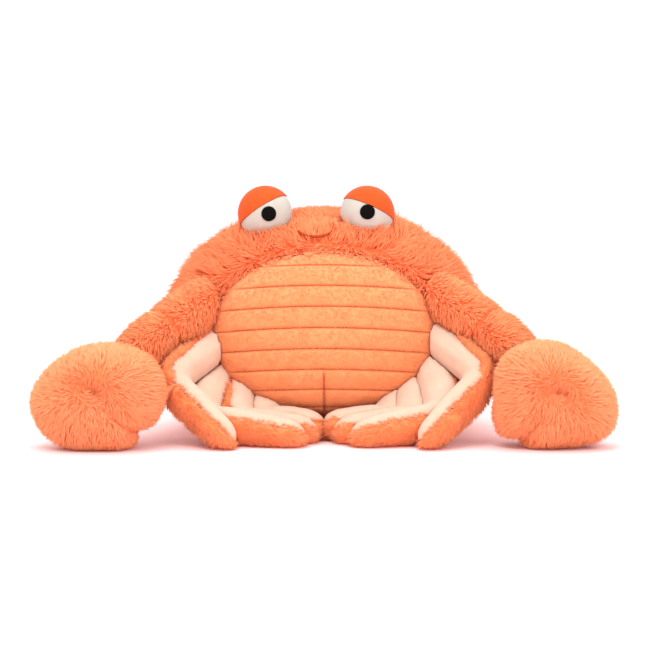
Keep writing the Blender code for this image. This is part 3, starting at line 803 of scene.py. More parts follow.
def finish_thread(curve: bpy.types.Curve, finish: ThreadFinish) -> bpy.types.Object:
    """Turn a thread's curve into a closed mesh piece with its finish, and return it."""
    loose = bpy.data.objects.new(curve.name, curve)
    bpy.context.scene.collection.objects.link(loose)
    select_only(loose)
    bpy.ops.object.convert(target="MESH")
    thread = bpy.context.active_object
    bpy.ops.object.mode_set(mode="EDIT")
    bpy.ops.mesh.select_all(action="SELECT")
    bpy.ops.mesh.remove_doubles(threshold=0.001 * MM)
    bpy.ops.mesh.normals_make_consistent(inside=False)
    bpy.ops.object.mode_set(mode="OBJECT")
    thread.data.shade_smooth()
    thread.data.materials.append(finish_of(finish))
    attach(thread, ROOT_BODY)
    LOG.info("%s: %d faces", thread.name, len(thread.data.polygons))
    return thread


FINISHES: dict[str, bpy.types.Material] = {}


def finish_of(finish: object) -> bpy.types.Material:
    """Return the material of a finish, made the first time it is asked for."""
    if finish.name not in FINISHES:
        FINISHES[finish.name] = finish.make()
    return FINISHES[finish.name]


@dataclass
class Cover:
    """A stuffed cloth cover, made from a copy of the solid that it replaces."""

    name: str
    node: str
    slot: str
    finish: object
    voxel: float = 3 * MM
    smoothing: int = 8
    inset: float = 0.0
    fill: float = 0.7
    swell: float = 0.0
    pressure: float = 4.0
    frames: int = 20
    held_by: str | None = None
    press: Callable[[np.ndarray], np.ndarray] | None = None

    def build(self, frame: dict) -> bpy.types.Object:
        """Args:
            frame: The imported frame.

        Returns:
            The finished cover.
        """
        shape = bmesh.new()
        shape.from_mesh(frame["nodes"][self.node].data)
        bmesh.ops.remove_doubles(shape, verts=shape.verts, dist=0.01 * MM)
        mesh = bpy.data.meshes.new(self.name)
        shape.to_mesh(mesh)
        shape.free()
        cover = bpy.data.objects.new(self.name, mesh)
        bpy.context.scene.collection.objects.link(cover)
        apply_modifier(cover, "REMESH", mode="VOXEL", voxel_size=self.voxel, use_smooth_shade=True)
        apply_modifier(cover, "SMOOTH", factor=0.5, iterations=self.smoothing)
        self.draw_in(cover)
        if self.swell:
            self.stuff(cover, frame)
        if self.press is not None:
            points = read_rows(cover.data.vertices, "co", 3, np.float32).astype(float)
            cover.data.vertices.foreach_set("co", self.press(points).astype(np.float32).ravel())
            cover.data.update()
        cover.data.materials.clear()
        cover.data.materials.append(finish_of(self.finish))
        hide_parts(self.node)
        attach(cover, ROOT_BODY)
        LOG.info("%s: %d faces", self.name, len(cover.data.polygons))
        return cover

    def draw_in(self, cover: bpy.types.Object) -> None:
        """Move the surface in by the inset, but leave what rests on the floor near it."""
        mesh = cover.data
        points = read_rows(mesh.vertices, "co", 3, np.float32).astype(float)
        normals = read_rows(mesh.vertices, "normal", 3, np.float32).astype(float)
        moved = points - normals * self.inset
        resting = points[:, 2] < 2 * MM
        moved[resting, 2] = np.clip(points[resting, 2], FLOOR_GAP, 0.8 * MM)
        moved[:, 2] = np.maximum(moved[:, 2], FLOOR_GAP)
        mesh.vertices.foreach_set("co", moved.astype(np.float32).ravel())
        mesh.update()

    def stuff(self, cover: bpy.types.Object, frame: dict) -> None:
        """Blow the cover up with a short cloth simulation, held where it rests or is sewn."""
        mesh = cover.data
        rest = read_rows(mesh.vertices, "co", 3, np.float32).astype(float)
        held = rest[:, 2] < 1.5 * MM
        if self.held_by is not None:
            other = frame["nodes"][self.held_by].data
            tree = BVHTree.FromPolygons([v.co for v in other.vertices], [p.vertices for p in other.polygons])
            held |= np.array([tree.find_nearest(point)[3] < self.inset + 1.2 * MM for point in rest])
        group = cover.vertex_groups.new(name="held")
        group.add([int(i) for i in np.flatnonzero(held)], 1.0, "REPLACE")
        cloth = cover.modifiers.new("stuffing", "CLOTH")
        cloth.settings.vertex_group_mass = group.name
        cloth.settings.quality = 4
        cloth.settings.use_pressure = True
        cloth.settings.uniform_pressure_force = self.pressure
        cloth.settings.effector_weights.gravity = 0.0
        scene = bpy.context.scene
        for number in range(1, self.frames + 1):
            scene.frame_set(number)
        graph = bpy.context.evaluated_depsgraph_get()
        blown = read_rows(cover.evaluated_get(graph).data.vertices, "co", 3, np.float32).astype(float)
        cover.modifiers.remove(cloth)
        scene.frame_set(1)
        move = blown - rest
        reach = np.linalg.norm(move, axis=1, keepdims=True)
        rest += move * (self.swell * np.tanh(reach / self.swell) / np.maximum(reach, 1e-9))
        rest[:, 2] = np.maximum(rest[:, 2], FLOOR_GAP)
        mesh.vertices.foreach_set("co", rest.astype(np.float32).ravel())
        mesh.update()


@dataclass
class Carapace:
    """The domed body: its cover and the long shaggy pile that hangs over everything sewn to it."""

    belly_centre: np.ndarray = field(default_factory=lambda: vec(0, -60, 77.2))
    belly_half: tuple[float, float] = (83.5 * MM, 59.7 * MM)
    parting: np.ndarray = field(default_factory=lambda: vec(0, -95, 118))
    smile_clearing: float = 5.5 * MM

    def build_cover(self, frame: dict) -> Skin:
        """Make the body's cover and return its skin."""
        cover = Cover(
            "body_cover",
            "body_shell",
            "body_pile",
            BODY_BACKING,
            voxel=4.5 * MM,
            smoothing=10,
            inset=3.8 * MM,
        )
        return Skin(cover.build(frame))

    def outside_belly(self, points: np.ndarray) -> np.ndarray:
        """Return which roots aren't under the belly panel or the flat base."""
        across = points[:, 0] / self.belly_half[0]
        up = (points[:, 2] - self.belly_centre[2]) / self.belly_half[1]
        under = (across**2 + up**2 < 0.95) & (points[:, 1] < 0.0)
        return ~under & (points[:, 2] > 2.5 * MM)

    def flow(self, points: np.ndarray, normals: np.ndarray) -> np.ndarray:
        """Comb away from the front's middle, over the belly's rim, up on to the eyes and down the back."""
        behind = smooth_step(0.0, 55 * MM, points[:, 1])[:, None]
        combed = unit(points - self.parting) * (1.0 - behind) + np.array([0.0, 0.3, -1.0]) * behind
        up = points[:, 2] - self.belly_centre[2]
        oval = np.hypot(points[:, 0] / self.belly_half[0], up / self.belly_half[1])
        at_rim = (1.0 - smooth_step(1.02, 1.16, oval)) * (points[:, 1] < 0.0)
        combed -= unit(points - self.belly_centre) * (2.2 * at_rim)[:, None]
        for eye in EYES:
            toward = eye.centre - points
            near = 1.0 - smooth_step(25 * MM, 37 * MM, np.linalg.norm(toward, axis=1))
            below = smooth_step(0.0, 9 * MM, toward[:, 2])
            combed += (unit(toward) + np.array([0.0, 0.0, 0.5])) * (3.0 * near * below)[:, None]
        return combed

    @staticmethod
    def below_pupils(points: np.ndarray, rng: np.random.Generator) -> None:
        """Bring tuft ends that would cross an eye down to a soft edge on its lower part, in place."""
        for eye in EYES:
            offset = points - eye.centre
            edge = -9.5 * MM + 1.6 * MM * rng.normal(size=len(points)) + 0.12 * np.abs(offset[:, 0])
            near = np.linalg.norm(offset, axis=1) < 25 * MM
            over = near & (offset[:, 1] < -5 * MM) & (offset[:, 2] > edge)
            points[over, 2] = (eye.centre[2] + edge)[over]

    def length(self, points: np.ndarray) -> np.ndarray:
        """Return the pile's share of its full length.

        It is shorter round the smile, near and between the eyes and at the floor, and longer at the
        shoulders and just under each eye.
        """
        away = distance_to_path(points, Smile.path())
        length = 0.75 + 0.25 * smooth_step(1.0 * MM, self.smile_clearing, away)
        for eye in EYES:
            away = np.linalg.norm(points - eye.centre, axis=1)
            away += 2.0 * np.maximum(eye.centre[2] - 8 * MM - points[:, 2], 0.0)
            length *= 0.65 + 0.35 * smooth_step(21 * MM, 46 * MM, away)
        for eye in EYES:
            toward = eye.centre - points
            near = 1.0 - smooth_step(27 * MM, 38 * MM, np.linalg.norm(toward, axis=1))
            length *= 1.0 + 0.8 * near * smooth_step(4 * MM, 14 * MM, toward[:, 2])
        between = 1.0 - smooth_step(22 * MM, 36 * MM, np.abs(points[:, 0] + 6 * MM))
        length *= 1.0 - 0.42 * between * smooth_step(146 * MM, 158 * MM, points[:, 2])
        outer = smooth_step(58 * MM, 95 * MM, np.abs(points[:, 0]))
        shoulder = outer * smooth_step(85 * MM, 108 * MM, points[:, 2])
        length *= 1.0 + 0.4 * shoulder
        return length * (0.55 + 0.45 * smooth_step(4 * MM, 26 * MM, points[:, 2]))

    def build_pile(self, skin: Skin, belly: Skin, eyes: list[Skin], limbs: list[Skin]) -> None:
        """Plant the long pile, clear of the eyes and limbs and lying over their edges."""
        over_eyes = [(other, 0.8 * MM) for other in eyes]
        over_limbs = [(other, 2.5 * MM) for other in limbs]
        Pile(
            "body_pile",
            "body_pile",
            LONG_CUT,
            BODY_PILE,
            11,
            self.flow,
            length=self.length,
            keep=self.outside_belly,
            keep_off=[(other, 0.5 * MM) for other in eyes + limbs],
            lie_over=[(belly, 1.2 * MM)] + over_eyes + over_limbs,
            under=LONG_UNDER_CUT,
            settle=self.below_pupils,
        ).grow(skin, parts=3)


def facing_rear(normals: np.ndarray) -> np.ndarray:
    """Return how far each surface normal turns to the crab's rear, from 0 to 1, as a column."""
    return smooth_step(0.0, 0.5, normals[:, 1])[:, None]


def distance_to_path(points: np.ndarray, path: np.ndarray) -> np.ndarray:
    """Return each point's distance to a chain of straight stretches."""
    best = np.full(len(points), 1.0)
    for start, end in zip(path, path[1:]):
        run = end - start
        share = np.clip((points - start) @ run / (run @ run), 0.0, 1.0)
        best = np.minimum(best, np.linalg.norm(points - start - share[:, None] * run, axis=1))
    return best


@dataclass
class Belly:
    """The oval quilted panel: channels sewn across, bowed up in the middle, and a short crease below."""

    half_width: float = 83.5 * MM
    bottom: float = 17.5 * MM
    top: float = 137 * MM
    bow: float = 7 * MM
    grooves: tuple[float, ...] = (23.0, 37.5, 53.0, 68.5, 84.0, 99.5, 114.5, 129.0)
    channel_depth: float = 2.4 * MM
    rim_proud: float = 1.6 * MM
    stuffing: float = 7.2 * MM
    back_depth: float = 12 * MM
    crease_top: float = 52 * MM
    crease_depth: float = 2.0 * MM
    crease_width: float = 1.1 * MM
    body_half_width: float = 120.5 * MM
    body_front_depth: float = 73 * MM
    body_middle: float = 75 * MM
    body_top: float = 170 * MM
    body_sink: float = 7 * MM
    body_centre_y: float = 15 * MM
    body_lean: float = 8 * MM

    def body_front(self, across: np.ndarray, height: np.ndarray) -> np.ndarray:
        """Return y on the body's front behind a point of the panel."""
        up = np.clip((height - self.body_middle) / (self.body_top - self.body_middle), 0.0, 1.0)
        down = np.clip((self.body_middle - height) / (self.body_middle + self.body_sink), 0.0, 1.0)
        upper = height >= self.body_middle
        side = np.where(upper, np.sqrt(1.0 - up**2), (1.0 - down**2.6) ** (1 / 2.6))
        front = np.where(upper, (1.0 - up**2.4) ** (1 / 2.4), side)
        share = np.clip(np.abs(across) / (self.body_half_width * side), 0.0, 1.0)
        centre = self.body_centre_y + np.where(upper, self.body_lean * up, 0.0)
        return centre - self.body_front_depth * front * np.sqrt(1.0 - share**2)

    def half_width_at(self, height: np.ndarray) -> np.ndarray:
        """Return the oval's half width at a height."""
        middle, half = 0.5 * (self.top + self.bottom), 0.5 * (self.top - self.bottom)
        return self.half_width * np.sqrt(np.clip(1.0 - ((height - middle) / half) ** 2, 0.0, 1.0))

    def row_heights(self) -> np.ndarray:
        """Return the heights on the centre line of all rows, close together at each seam."""
        seams = [self.bottom / MM, *self.grooves, self.top / MM]
        shares = (0.0, 0.035, 0.08, 0.15, 0.28, 0.42, 0.58, 0.72, 0.85, 0.92, 0.965)
        rows = [low + share * (high - low) for low, high in zip(seams, seams[1:]) for share in shares]
        return np.array(rows + [seams[-1]]) * MM

    @staticmethod
    def column_shares() -> np.ndarray:
        """Return the columns' places across, close together at the crease and at the rim."""
        even = np.sin(np.linspace(-0.5, 0.5, 97) * math.pi)
        crease = np.array([-0.02, -0.013, -0.008, -0.004, 0.0, 0.004, 0.008, 0.013, 0.02])
        return np.concatenate([even[even < -0.03], crease, even[even > 0.03]])

    def surface(self, across: np.ndarray, centre_height: np.ndarray) -> tuple[np.ndarray, np.ndarray]:
        """Return the panel's points and how near each lies to a seam or in the crease, from 0 to 1: this
        darkens the seams, partly stitching and partly painted shade in the groove, and the crease, as
        painted shade.
        """
        height = centre_height - self.bow * (across / self.half_width) ** 2
        height = np.maximum(height, self.bottom)
        middle, half = 0.5 * (self.top + self.bottom), 0.5 * (self.top - self.bottom)
        inner = np.clip(1.0 - (across / self.half_width) ** 2 - ((height - middle) / half) ** 2, 0.0, 1.0)
        seams = np.array([self.bottom / MM, *self.grooves, self.top / MM]) * MM
        gap = np.min(np.abs(centre_height[..., None] - seams), axis=-1)
        width = 7.6 * MM
        swell = 1.0 - np.clip(1.0 - gap / width, 0.0, 1.0) ** 5
        wave = np.sin(across / (3.1 * MM) + 2.0 * np.sin(centre_height / (9 * MM)))
        puckers = 0.35 * MM * wave * (1.0 - gap / width)
        crease = np.exp(-((across / self.crease_width) ** 2)) * smooth_step(
            self.crease_top + 2 * MM, self.crease_top - 5 * MM, centre_height
        )
        beside = np.exp(-((across / (9 * MM)) ** 2))
        tight = 0.5 * beside * smooth_step(self.crease_top + 6 * MM, 40 * MM, centre_height)
        edge = np.clip(4 * inner, 0.0, 1.0)
        proud = self.rim_proud + self.stuffing * np.sqrt(inner) + self.channel_depth * swell * edge
        proud += puckers * edge - self.crease_depth * crease - 1.6 * MM * tight
        points = np.stack([across, self.body_front(across, height) - proud, height], axis=-1)
        line = np.exp(-((gap / (0.55 * MM)) ** 2)) * np.clip(8 * inner, 0.0, 1.0)
        # The crease is darkened along with the seams: painted shade in the fold.
        return points, np.maximum(line, 0.8 * crease)

    def build(self) -> Skin:
        """Place a grid on the quilted surface, close its back, and return its skin."""
        rows, columns = self.row_heights(), self.column_shares()
        halves = self.half_width_at(rows)
        for _ in range(6):
            drop = self.bow * (halves / self.half_width) ** 2
            halves = 0.5 * (halves + self.half_width_at(np.maximum(self.bottom, rows - drop)))
        halves = np.maximum(halves, 4 * MM)
        across = halves[:, None] * columns[None, :]
        heights = np.broadcast_to(rows[:, None], across.shape)
        points, line = self.surface(across, heights)
        bpy.ops.mesh.primitive_grid_add(
            x_subdivisions=len(columns) - 1, y_subdivisions=len(rows) - 1, size=1.0
        )
        panel = bpy.context.active_object
        panel.name = panel.data.name = "belly_quilt"
        panel.data.vertices.foreach_set("co", points.reshape(-1, 3).astype(np.float32).ravel())
        # Store the dark lines: stitching that is partly painted groove shade, and the crease as painted
        # shade.
        seam = panel.data.color_attributes.new(SEAM_LINE_AND_SHADE, "FLOAT_COLOR", "POINT")
        colours = np.ones((line.size, 4), np.float32)
        colours[:, 0] = line.ravel()
        seam.data.foreach_set("color", colours.ravel())
        front = Skin(panel)
        self.close_back(panel)
        panel.data.materials.append(finish_of(BELLY_QUILT))
        panel.data.shade_smooth()
        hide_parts("belly_panel")
        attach(panel, ROOT_BODY)
        LOG.info("belly_quilt: %d faces", len(panel.data.polygons))
        return front

    def close_back(self, panel: bpy.types.Object) -> None:
        """Extrude the open rim back into the body and fill it."""
        select_only(panel)
        bpy.ops.object.mode_set(mode="EDIT")
        bpy.ops.mesh.select_mode(type="EDGE")
        bpy.ops.mesh.select_all(action="SELECT")
        bpy.ops.mesh.region_to_loop()
        bpy.ops.mesh.extrude_edges_move(TRANSFORM_OT_translate={"value": (0.0, self.back_depth, 0.0)})
        bpy.ops.mesh.edge_face_add()
        bpy.ops.mesh.select_all(action="SELECT")
        bpy.ops.mesh.normals_make_consistent(inside=False)
        bpy.ops.object.mode_set(mode="OBJECT")

    def off_seams(self, points: np.ndarray) -> np.ndarray:
        """Return which roots lie between the seams."""
        centre_height = points[:, 2] + self.bow * (points[:, 0] / self.half_width) ** 2
        seams = np.array(self.grooves) * MM
        gap = np.min(np.abs(centre_height[:, None] - seams), axis=1)
        crease = (np.abs(points[:, 0]) < 0.9 * MM) & (centre_height < self.crease_top)
        return (gap > 0.75 * MM) & ~crease

    def build_pile(self, front: Skin, legs: list[Skin]) -> None:
        """Plant the sheared pile on the front, between the seams and clear of the legs."""
        Pile(
            "belly_pile",
            "belly_pile",
            SHEARED_CUT,
            BELLY_PILE,
            23,
            lambda points, normals: np.tile([0.0, 0.0, -1.0], (len(points), 1)),
            keep=self.off_seams,
            keep_off=[(leg, 0.6 * MM) for leg in legs],
        ).grow(front)


@dataclass
class Limb:
    """One arm and its claw, with the places that steer their pile."""

    side: Side
    shoulder: np.ndarray
    elbow: np.ndarray
    wrist: np.ndarray
    claw_centre: np.ndarray
    notch_angle: float
    dent: np.ndarray
    inset: float = 2.2 * MM
    swell: float = 1 * MM
    dent_angle: float = -26.0
    dent_radius: float = 14 * MM
    dent_depth: float = 5.0 * MM
    slit_depth: float = 1.5 * MM

    def build_covers(self, frame: dict) -> tuple[Skin, Skin]:
        """Make the covers of the arm and the claw and return their skins."""
        name = self.side.value
        arm = Cover(
            f"{name}_arm_cover",
            f"{name}_arm",
            "arm_pile",
            BODY_BACKING,
            voxel=3 * MM,
            smoothing=6,
            inset=self.inset,
            swell=self.swell,
        ).build(frame)
        claw = Cover(
            f"{name}_claw_cover",
            f"{name}_claw",
            "claw_pile",
            CLAW_BACKING,
            voxel=3 * MM,
            smoothing=4,
            inset=self.inset,
            swell=self.swell,
            press=self.dented,
        ).build(frame)
        return Skin(arm), Skin(claw)

    def arm_flow(self, points: np.ndarray, normals: np.ndarray) -> np.ndarray:
        """Comb along the arm toward the claw, away from the front, and down on its rear side."""
        upper, lower = unit(self.elbow - self.shoulder), unit(self.wrist - self.elbow)
        past = smooth_step(-8 * MM, 8 * MM, (points - self.elbow) @ upper)[:, None]
        rear = facing_rear(normals)
        aside = np.array([0.0, 0.9, -0.1]) * (1.0 - rear) + np.array([0.0, -0.4, -0.6]) * rear
        return upper * (1.0 - past) + lower * past + aside

    def elbow_crease(self, points: np.ndarray) -> np.ndarray:
        """Return 1 on the elbow's line of stitches, falling to 0 beside it."""
        axis = unit(unit(self.elbow - self.shoulder) + unit(self.wrist - self.elbow))
        return np.exp(-(((points - self.elbow) @ axis / (2.6 * MM)) ** 2))

    def claw_flow(self, points: np.ndarray, normals: np.ndarray) -> np.ndarray:
        """Comb away from the dent in the front, and down on the rear side."""
        away = unit(points - self.claw_centre - self.dent + vec(0, 45, 0)) + np.array([0.0, 0.0, -0.1])
        rear = facing_rear(normals)
        return away * (1.0 - rear) + np.array([0.0, -0.3, -0.9]) * rear

    def slit(self, points: np.ndarray) -> np.ndarray:
        """Return 1 on the line between the claw's two fingers, falling to 0 beside it."""
        angle = math.radians(self.notch_angle)
        line = np.array([math.cos(angle), 0.0, math.sin(angle)])
        offset = points - self.claw_centre
        offset[:, 1] = 0.0
        along = offset @ line
        aside = np.linalg.norm(offset - along[:, None] * line, axis=1)
        return np.exp(-((aside / (2.2 * MM)) ** 2)) * smooth_step(6 * MM, 14 * MM, along)

    def beside_knee(self, points: np.ndarray) -> np.ndarray:
        """Return 1 where the claw rests against the first leg's knee, falling to 0 round it."""
        knee = LEGS[0].knee if self.side is Side.RIGHT else LEGS[1].knee
        return 1.0 - smooth_step(20 * MM, 34 * MM, np.linalg.norm(points - knee, axis=1))

    def dented(self, points: np.ndarray) -> np.ndarray:
        """Return the cover's points with the front pressed in at the dent and at the slit."""
        depth = self.dent_depth * self.hollow(points) + self.slit_depth * self.slit(points)
        inward = unit(self.claw_centre - points)
        return points + inward * depth[:, None]

    def hollow(self, points: np.ndarray) -> np.ndarray:
        """Return 1 in the middle of the dent in the claw's front, falling to 0 round it."""
        offset = points - self.claw_centre - self.dent
        front = smooth_step(0.0, -8 * MM, points[:, 1] - self.claw_centre[1])
        angle = math.radians(self.dent_angle)
        along = offset[:, 0] * math.cos(angle) + offset[:, 2] * math.sin(angle)
        aside = offset[:, 2] * math.cos(angle) - offset[:, 0] * math.sin(angle) + along**2 / (60 * MM)
        return front * np.exp(-((along / self.dent_radius) ** 2) - (aside / (0.55 * self.dent_radius)) ** 2)

    def claw_length(self, points: np.ndarray) -> np.ndarray:
        """Return the claw pile's share of its full length: less in the slit, the dent and at the knee."""
        shorter = np.maximum(0.5 * self.slit(points), 0.35 * self.hollow(points))
        return 1.0 - np.maximum(shorter, 0.6 * self.beside_knee(points))

    def build_pile(self, arm: Skin, claw: Skin, others: list[Skin]) -> None:
        """Plant the dense pile on the arm and the claw."""
        name = self.side.value
        seed = 31 if self.side is Side.RIGHT else 41
        Pile(
            f"{name}_arm_pile",
            "arm_pile",
            DENSE_CUT,
            ARM_PILE,
            seed,
            self.arm_flow,
            length=lambda points: 1.0 - 0.6 * self.elbow_crease(points),
            shade=lambda points: 0.5 * self.elbow_crease(points),
            keep_off=[(claw, 0.5 * MM)] + [(other, 0.5 * MM) for other in others],
            lie_over=[(claw, 2.0 * MM)] + [(other, 0.8 * MM) for other in others],
            under=DENSE_UNDER_CUT,
        ).grow(arm)
        Pile(
            f"{name}_claw_pile",
            "claw_pile",
            DENSE_CUT,
            CLAW_PILE,
            seed + 5,
            self.claw_flow,
            length=self.claw_length,
            shade=lambda points: np.maximum(0.6 * self.slit(points), 0.8 * self.hollow(points)),
            keep_off=[(arm, 0.5 * MM)] + [(other, 0.5 * MM) for other in others],
            lie_over=[(arm, 1.5 * MM)] + [(other, 0.8 * MM) for other in others],
            under=DENSE_UNDER_CUT,
        ).grow(claw)


@dataclass
class Leg:
    """One bent leg: the cream panel inside, the plush panel outside, and the knee's stitches."""

    name: str
    root: np.ndarray
    knee: np.ndarray
    tip: np.ndarray
    seed: int
    welt_radius: float = 4.0 * MM
    welt_forward: float = 1.0 * MM
    suede_inset: float = -0.5 * MM
    suede_swell: float = 1.6 * MM
    fur_inset: float = -1.2 * MM
    welt_past_knee: float = 22 * MM
    shin_border: float = 2.2 * MM
    welt: Skin | None = None
    suede: Skin | None = None
    fur: Skin | None = None

    def build_covers(self, frame: dict) -> None:
        """Make both panels."""
        suede = Cover(
            f"{self.name}_suede_cover",
            f"{self.name}_suede",
            "leg_suedette",
            CREAM_SUEDETTE,
            voxel=2.2 * MM,
            smoothing=3,
            inset=self.suede_inset,
            swell=self.suede_swell,
            held_by=f"{self.name}_fur",
        ).build(frame)
        fur = Cover(
            f"{self.name}_pile_cover",
            f"{self.name}_fur",
            "leg_pile",
            CLAW_BACKING,
            voxel=2.6 * MM,
            smoothing=2,
            inset=self.fur_inset,
        ).build(frame)
        self.suede, self.fur = Skin(suede), Skin(fur)

    def flow(self, points: np.ndarray, normals: np.ndarray) -> np.ndarray:
        """Comb from the root to the knee and on to the tip, back from the front and down behind."""
        upper, lower = unit(self.knee - self.root), unit(self.tip - self.knee)
        past = smooth_step(-6 * MM, 6 * MM, (points - self.knee) @ lower)[:, None]
        rear = facing_rear(normals)
        aside = np.array([0.0, 0.7, 0.0]) * (1.0 - rear) + np.array([0.0, -0.3, -0.4]) * rear
        return upper * (1.0 - past) + lower * past + aside

    def skins(self) -> list[Skin]:
        """Return the skins of the leg's pieces."""
        return [skin for skin in (self.suede, self.fur, self.welt) if skin is not None]

    def build_stitches(self, ends: tuple[np.ndarray, np.ndarray], radius: float = 0.35 * MM) -> None:
        """Lay the short seam across the outside of the knee, just into the suedette.

        Args:
            ends: Where the seam starts and stops, near the surface.
            radius: The thread's radius.
        """
        curve = bpy.data.curves.new(f"{self.name}_knee_stitches", "CURVE")
        curve.dimensions = "3D"
        curve.bevel_depth = radius
        curve.bevel_resolution = 2
        curve.use_fill_caps = True
        spline = curve.splines.new("POLY")
        spline.points.add(11)
        for point, share in zip(spline.points, np.linspace(0.0, 1.0, 12)):
            spot = Vector(ends[0] + (ends[1] - ends[0]) * share)
            place, normal, _, _ = self.suede.tree.find_nearest(spot)
            point.co = (*(place - normal * (0.4 * radius + radius * share)), 1.0)
        finish_thread(curve, KNEE_THREAD)

    def sideways(self) -> tuple[np.ndarray, np.ndarray]:
        """Return the ways that face out of the bend, square to the thigh and to the shin."""
        thigh, shin = self.knee - self.root, self.tip - self.knee
        return unit(shin @ unit(thigh) * unit(thigh) - shin), unit(thigh - thigh @ unit(shin) * unit(shin))

    def outer_edge(self, points: np.ndarray) -> np.ndarray:
        """Return which points of the suedette lie on the shin's outer side, beside the seam."""
        shin = unit(self.tip - self.knee)
        along = (points - self.knee) @ shin
        aside = (points - self.knee) @ self.sideways()[1]
        gap = np.array([self.fur.tree.find_nearest(point)[3] for point in points])
        return (along > 0.0) & (aside > 0.0) & (gap < self.shin_border)

    def outline(self, spot: np.ndarray, outward: np.ndarray) -> np.ndarray:
        """Return the suedette's point furthest outward beside a spot, as seen from the front."""
        offset = self.suede.points - spot
        beside = np.abs(offset @ np.array([-outward[2], 0.0, outward[0]])) < 2.5 * MM
        return self.suede.points[beside][np.argmax(offset[beside] @ outward)]

    def build_welt(self) -> None:
        """Roll the outer panel's edge over the seam, from the hip to just past the knee."""
        beside_thigh, beside_shin = self.sideways()
        thigh, shin = self.knee - self.root, unit(self.tip - self.knee)
        length = np.linalg.norm(thigh)
        last = 1.0 + self.welt_past_knee / length
        forward = np.array([0.0, self.welt_forward, 0.0])
        places, scales = [], []
        for share in np.linspace(0.05, last, 30):
            past = float(smooth_step(0.8, 1.25, share))
            outward = beside_thigh * (1.0 - past) + beside_shin * past
            outward[1] = 0.0
            outward = unit(outward)
            spot = self.root + thigh * min(share, 1.0) + shin * (max(share - 1.0, 0.0) * length)
            edge = self.outline(spot, outward)
            places.append(edge + outward * (0.2 * self.welt_radius) - forward)
            scales.append(min(0.7 + 0.3 * share, 0.15 + share / 0.55, 0.2 + (last - share) / 0.5))
        kernel = np.ones(7) / 7
        rows = np.array(places)
        rows = np.concatenate([rows[:1]] * 3 + [rows] + [rows[-1:]] * 3)
        rows = np.stack([np.convolve(rows[:, k], kernel, "valid") for k in range(3)], axis=1)
        curve = bpy.data.curves.new(f"{self.name}_welt", "CURVE")
        curve.dimensions = "3D"
        curve.bevel_depth = self.welt_radius
        curve.bevel_resolution = 4
        curve.use_fill_caps = True
        spline = curve.splines.new("POLY")
        spline.points.add(len(rows) - 1)
        for point, row, scale in zip(spline.points, rows, scales):
            row[2] = max(row[2], self.welt_radius * scale + 0.4 * MM)
            point.co = (*row, 1.0)
            point.radius = scale
        welt = finish_thread(curve, CLAW_BACKING)
        self.welt = Skin(welt)

    def build_pile(self, others: list[Skin]) -> None:
        """Plant the short pile on the outer panel, on its rolled edge, and over the shin's seam."""
        outer = Pile(
            f"{self.name}_pile",
            "leg_pile",
            SHORT_CUT,
            LEG_PILE,
            self.seed,
            self.flow,
            keep_off=[(self.suede, 0.0)] + [(other, 0.4 * MM) for other in others],
            lie_over=[(self.suede, 0.3 * MM)] + [(other, 0.3 * MM) for other in others],
        )
        outer.grow(self.fur)
        if self.welt is not None:
            edge = replace(outer, name=f"{self.name}_edge_pile", cut=EDGE_CUT, seed=self.seed + EDGE_SEED)
            edge.grow(self.welt)
        border = replace(
            outer,
            name=f"{self.name}_border",
            cut=EDGE_CUT,
            seed=self.seed + BORDER_SEED,
            keep=self.outer_edge,
            keep_off=[(other, 0.4 * MM) for other in others],
        )
        border.grow(self.suede)


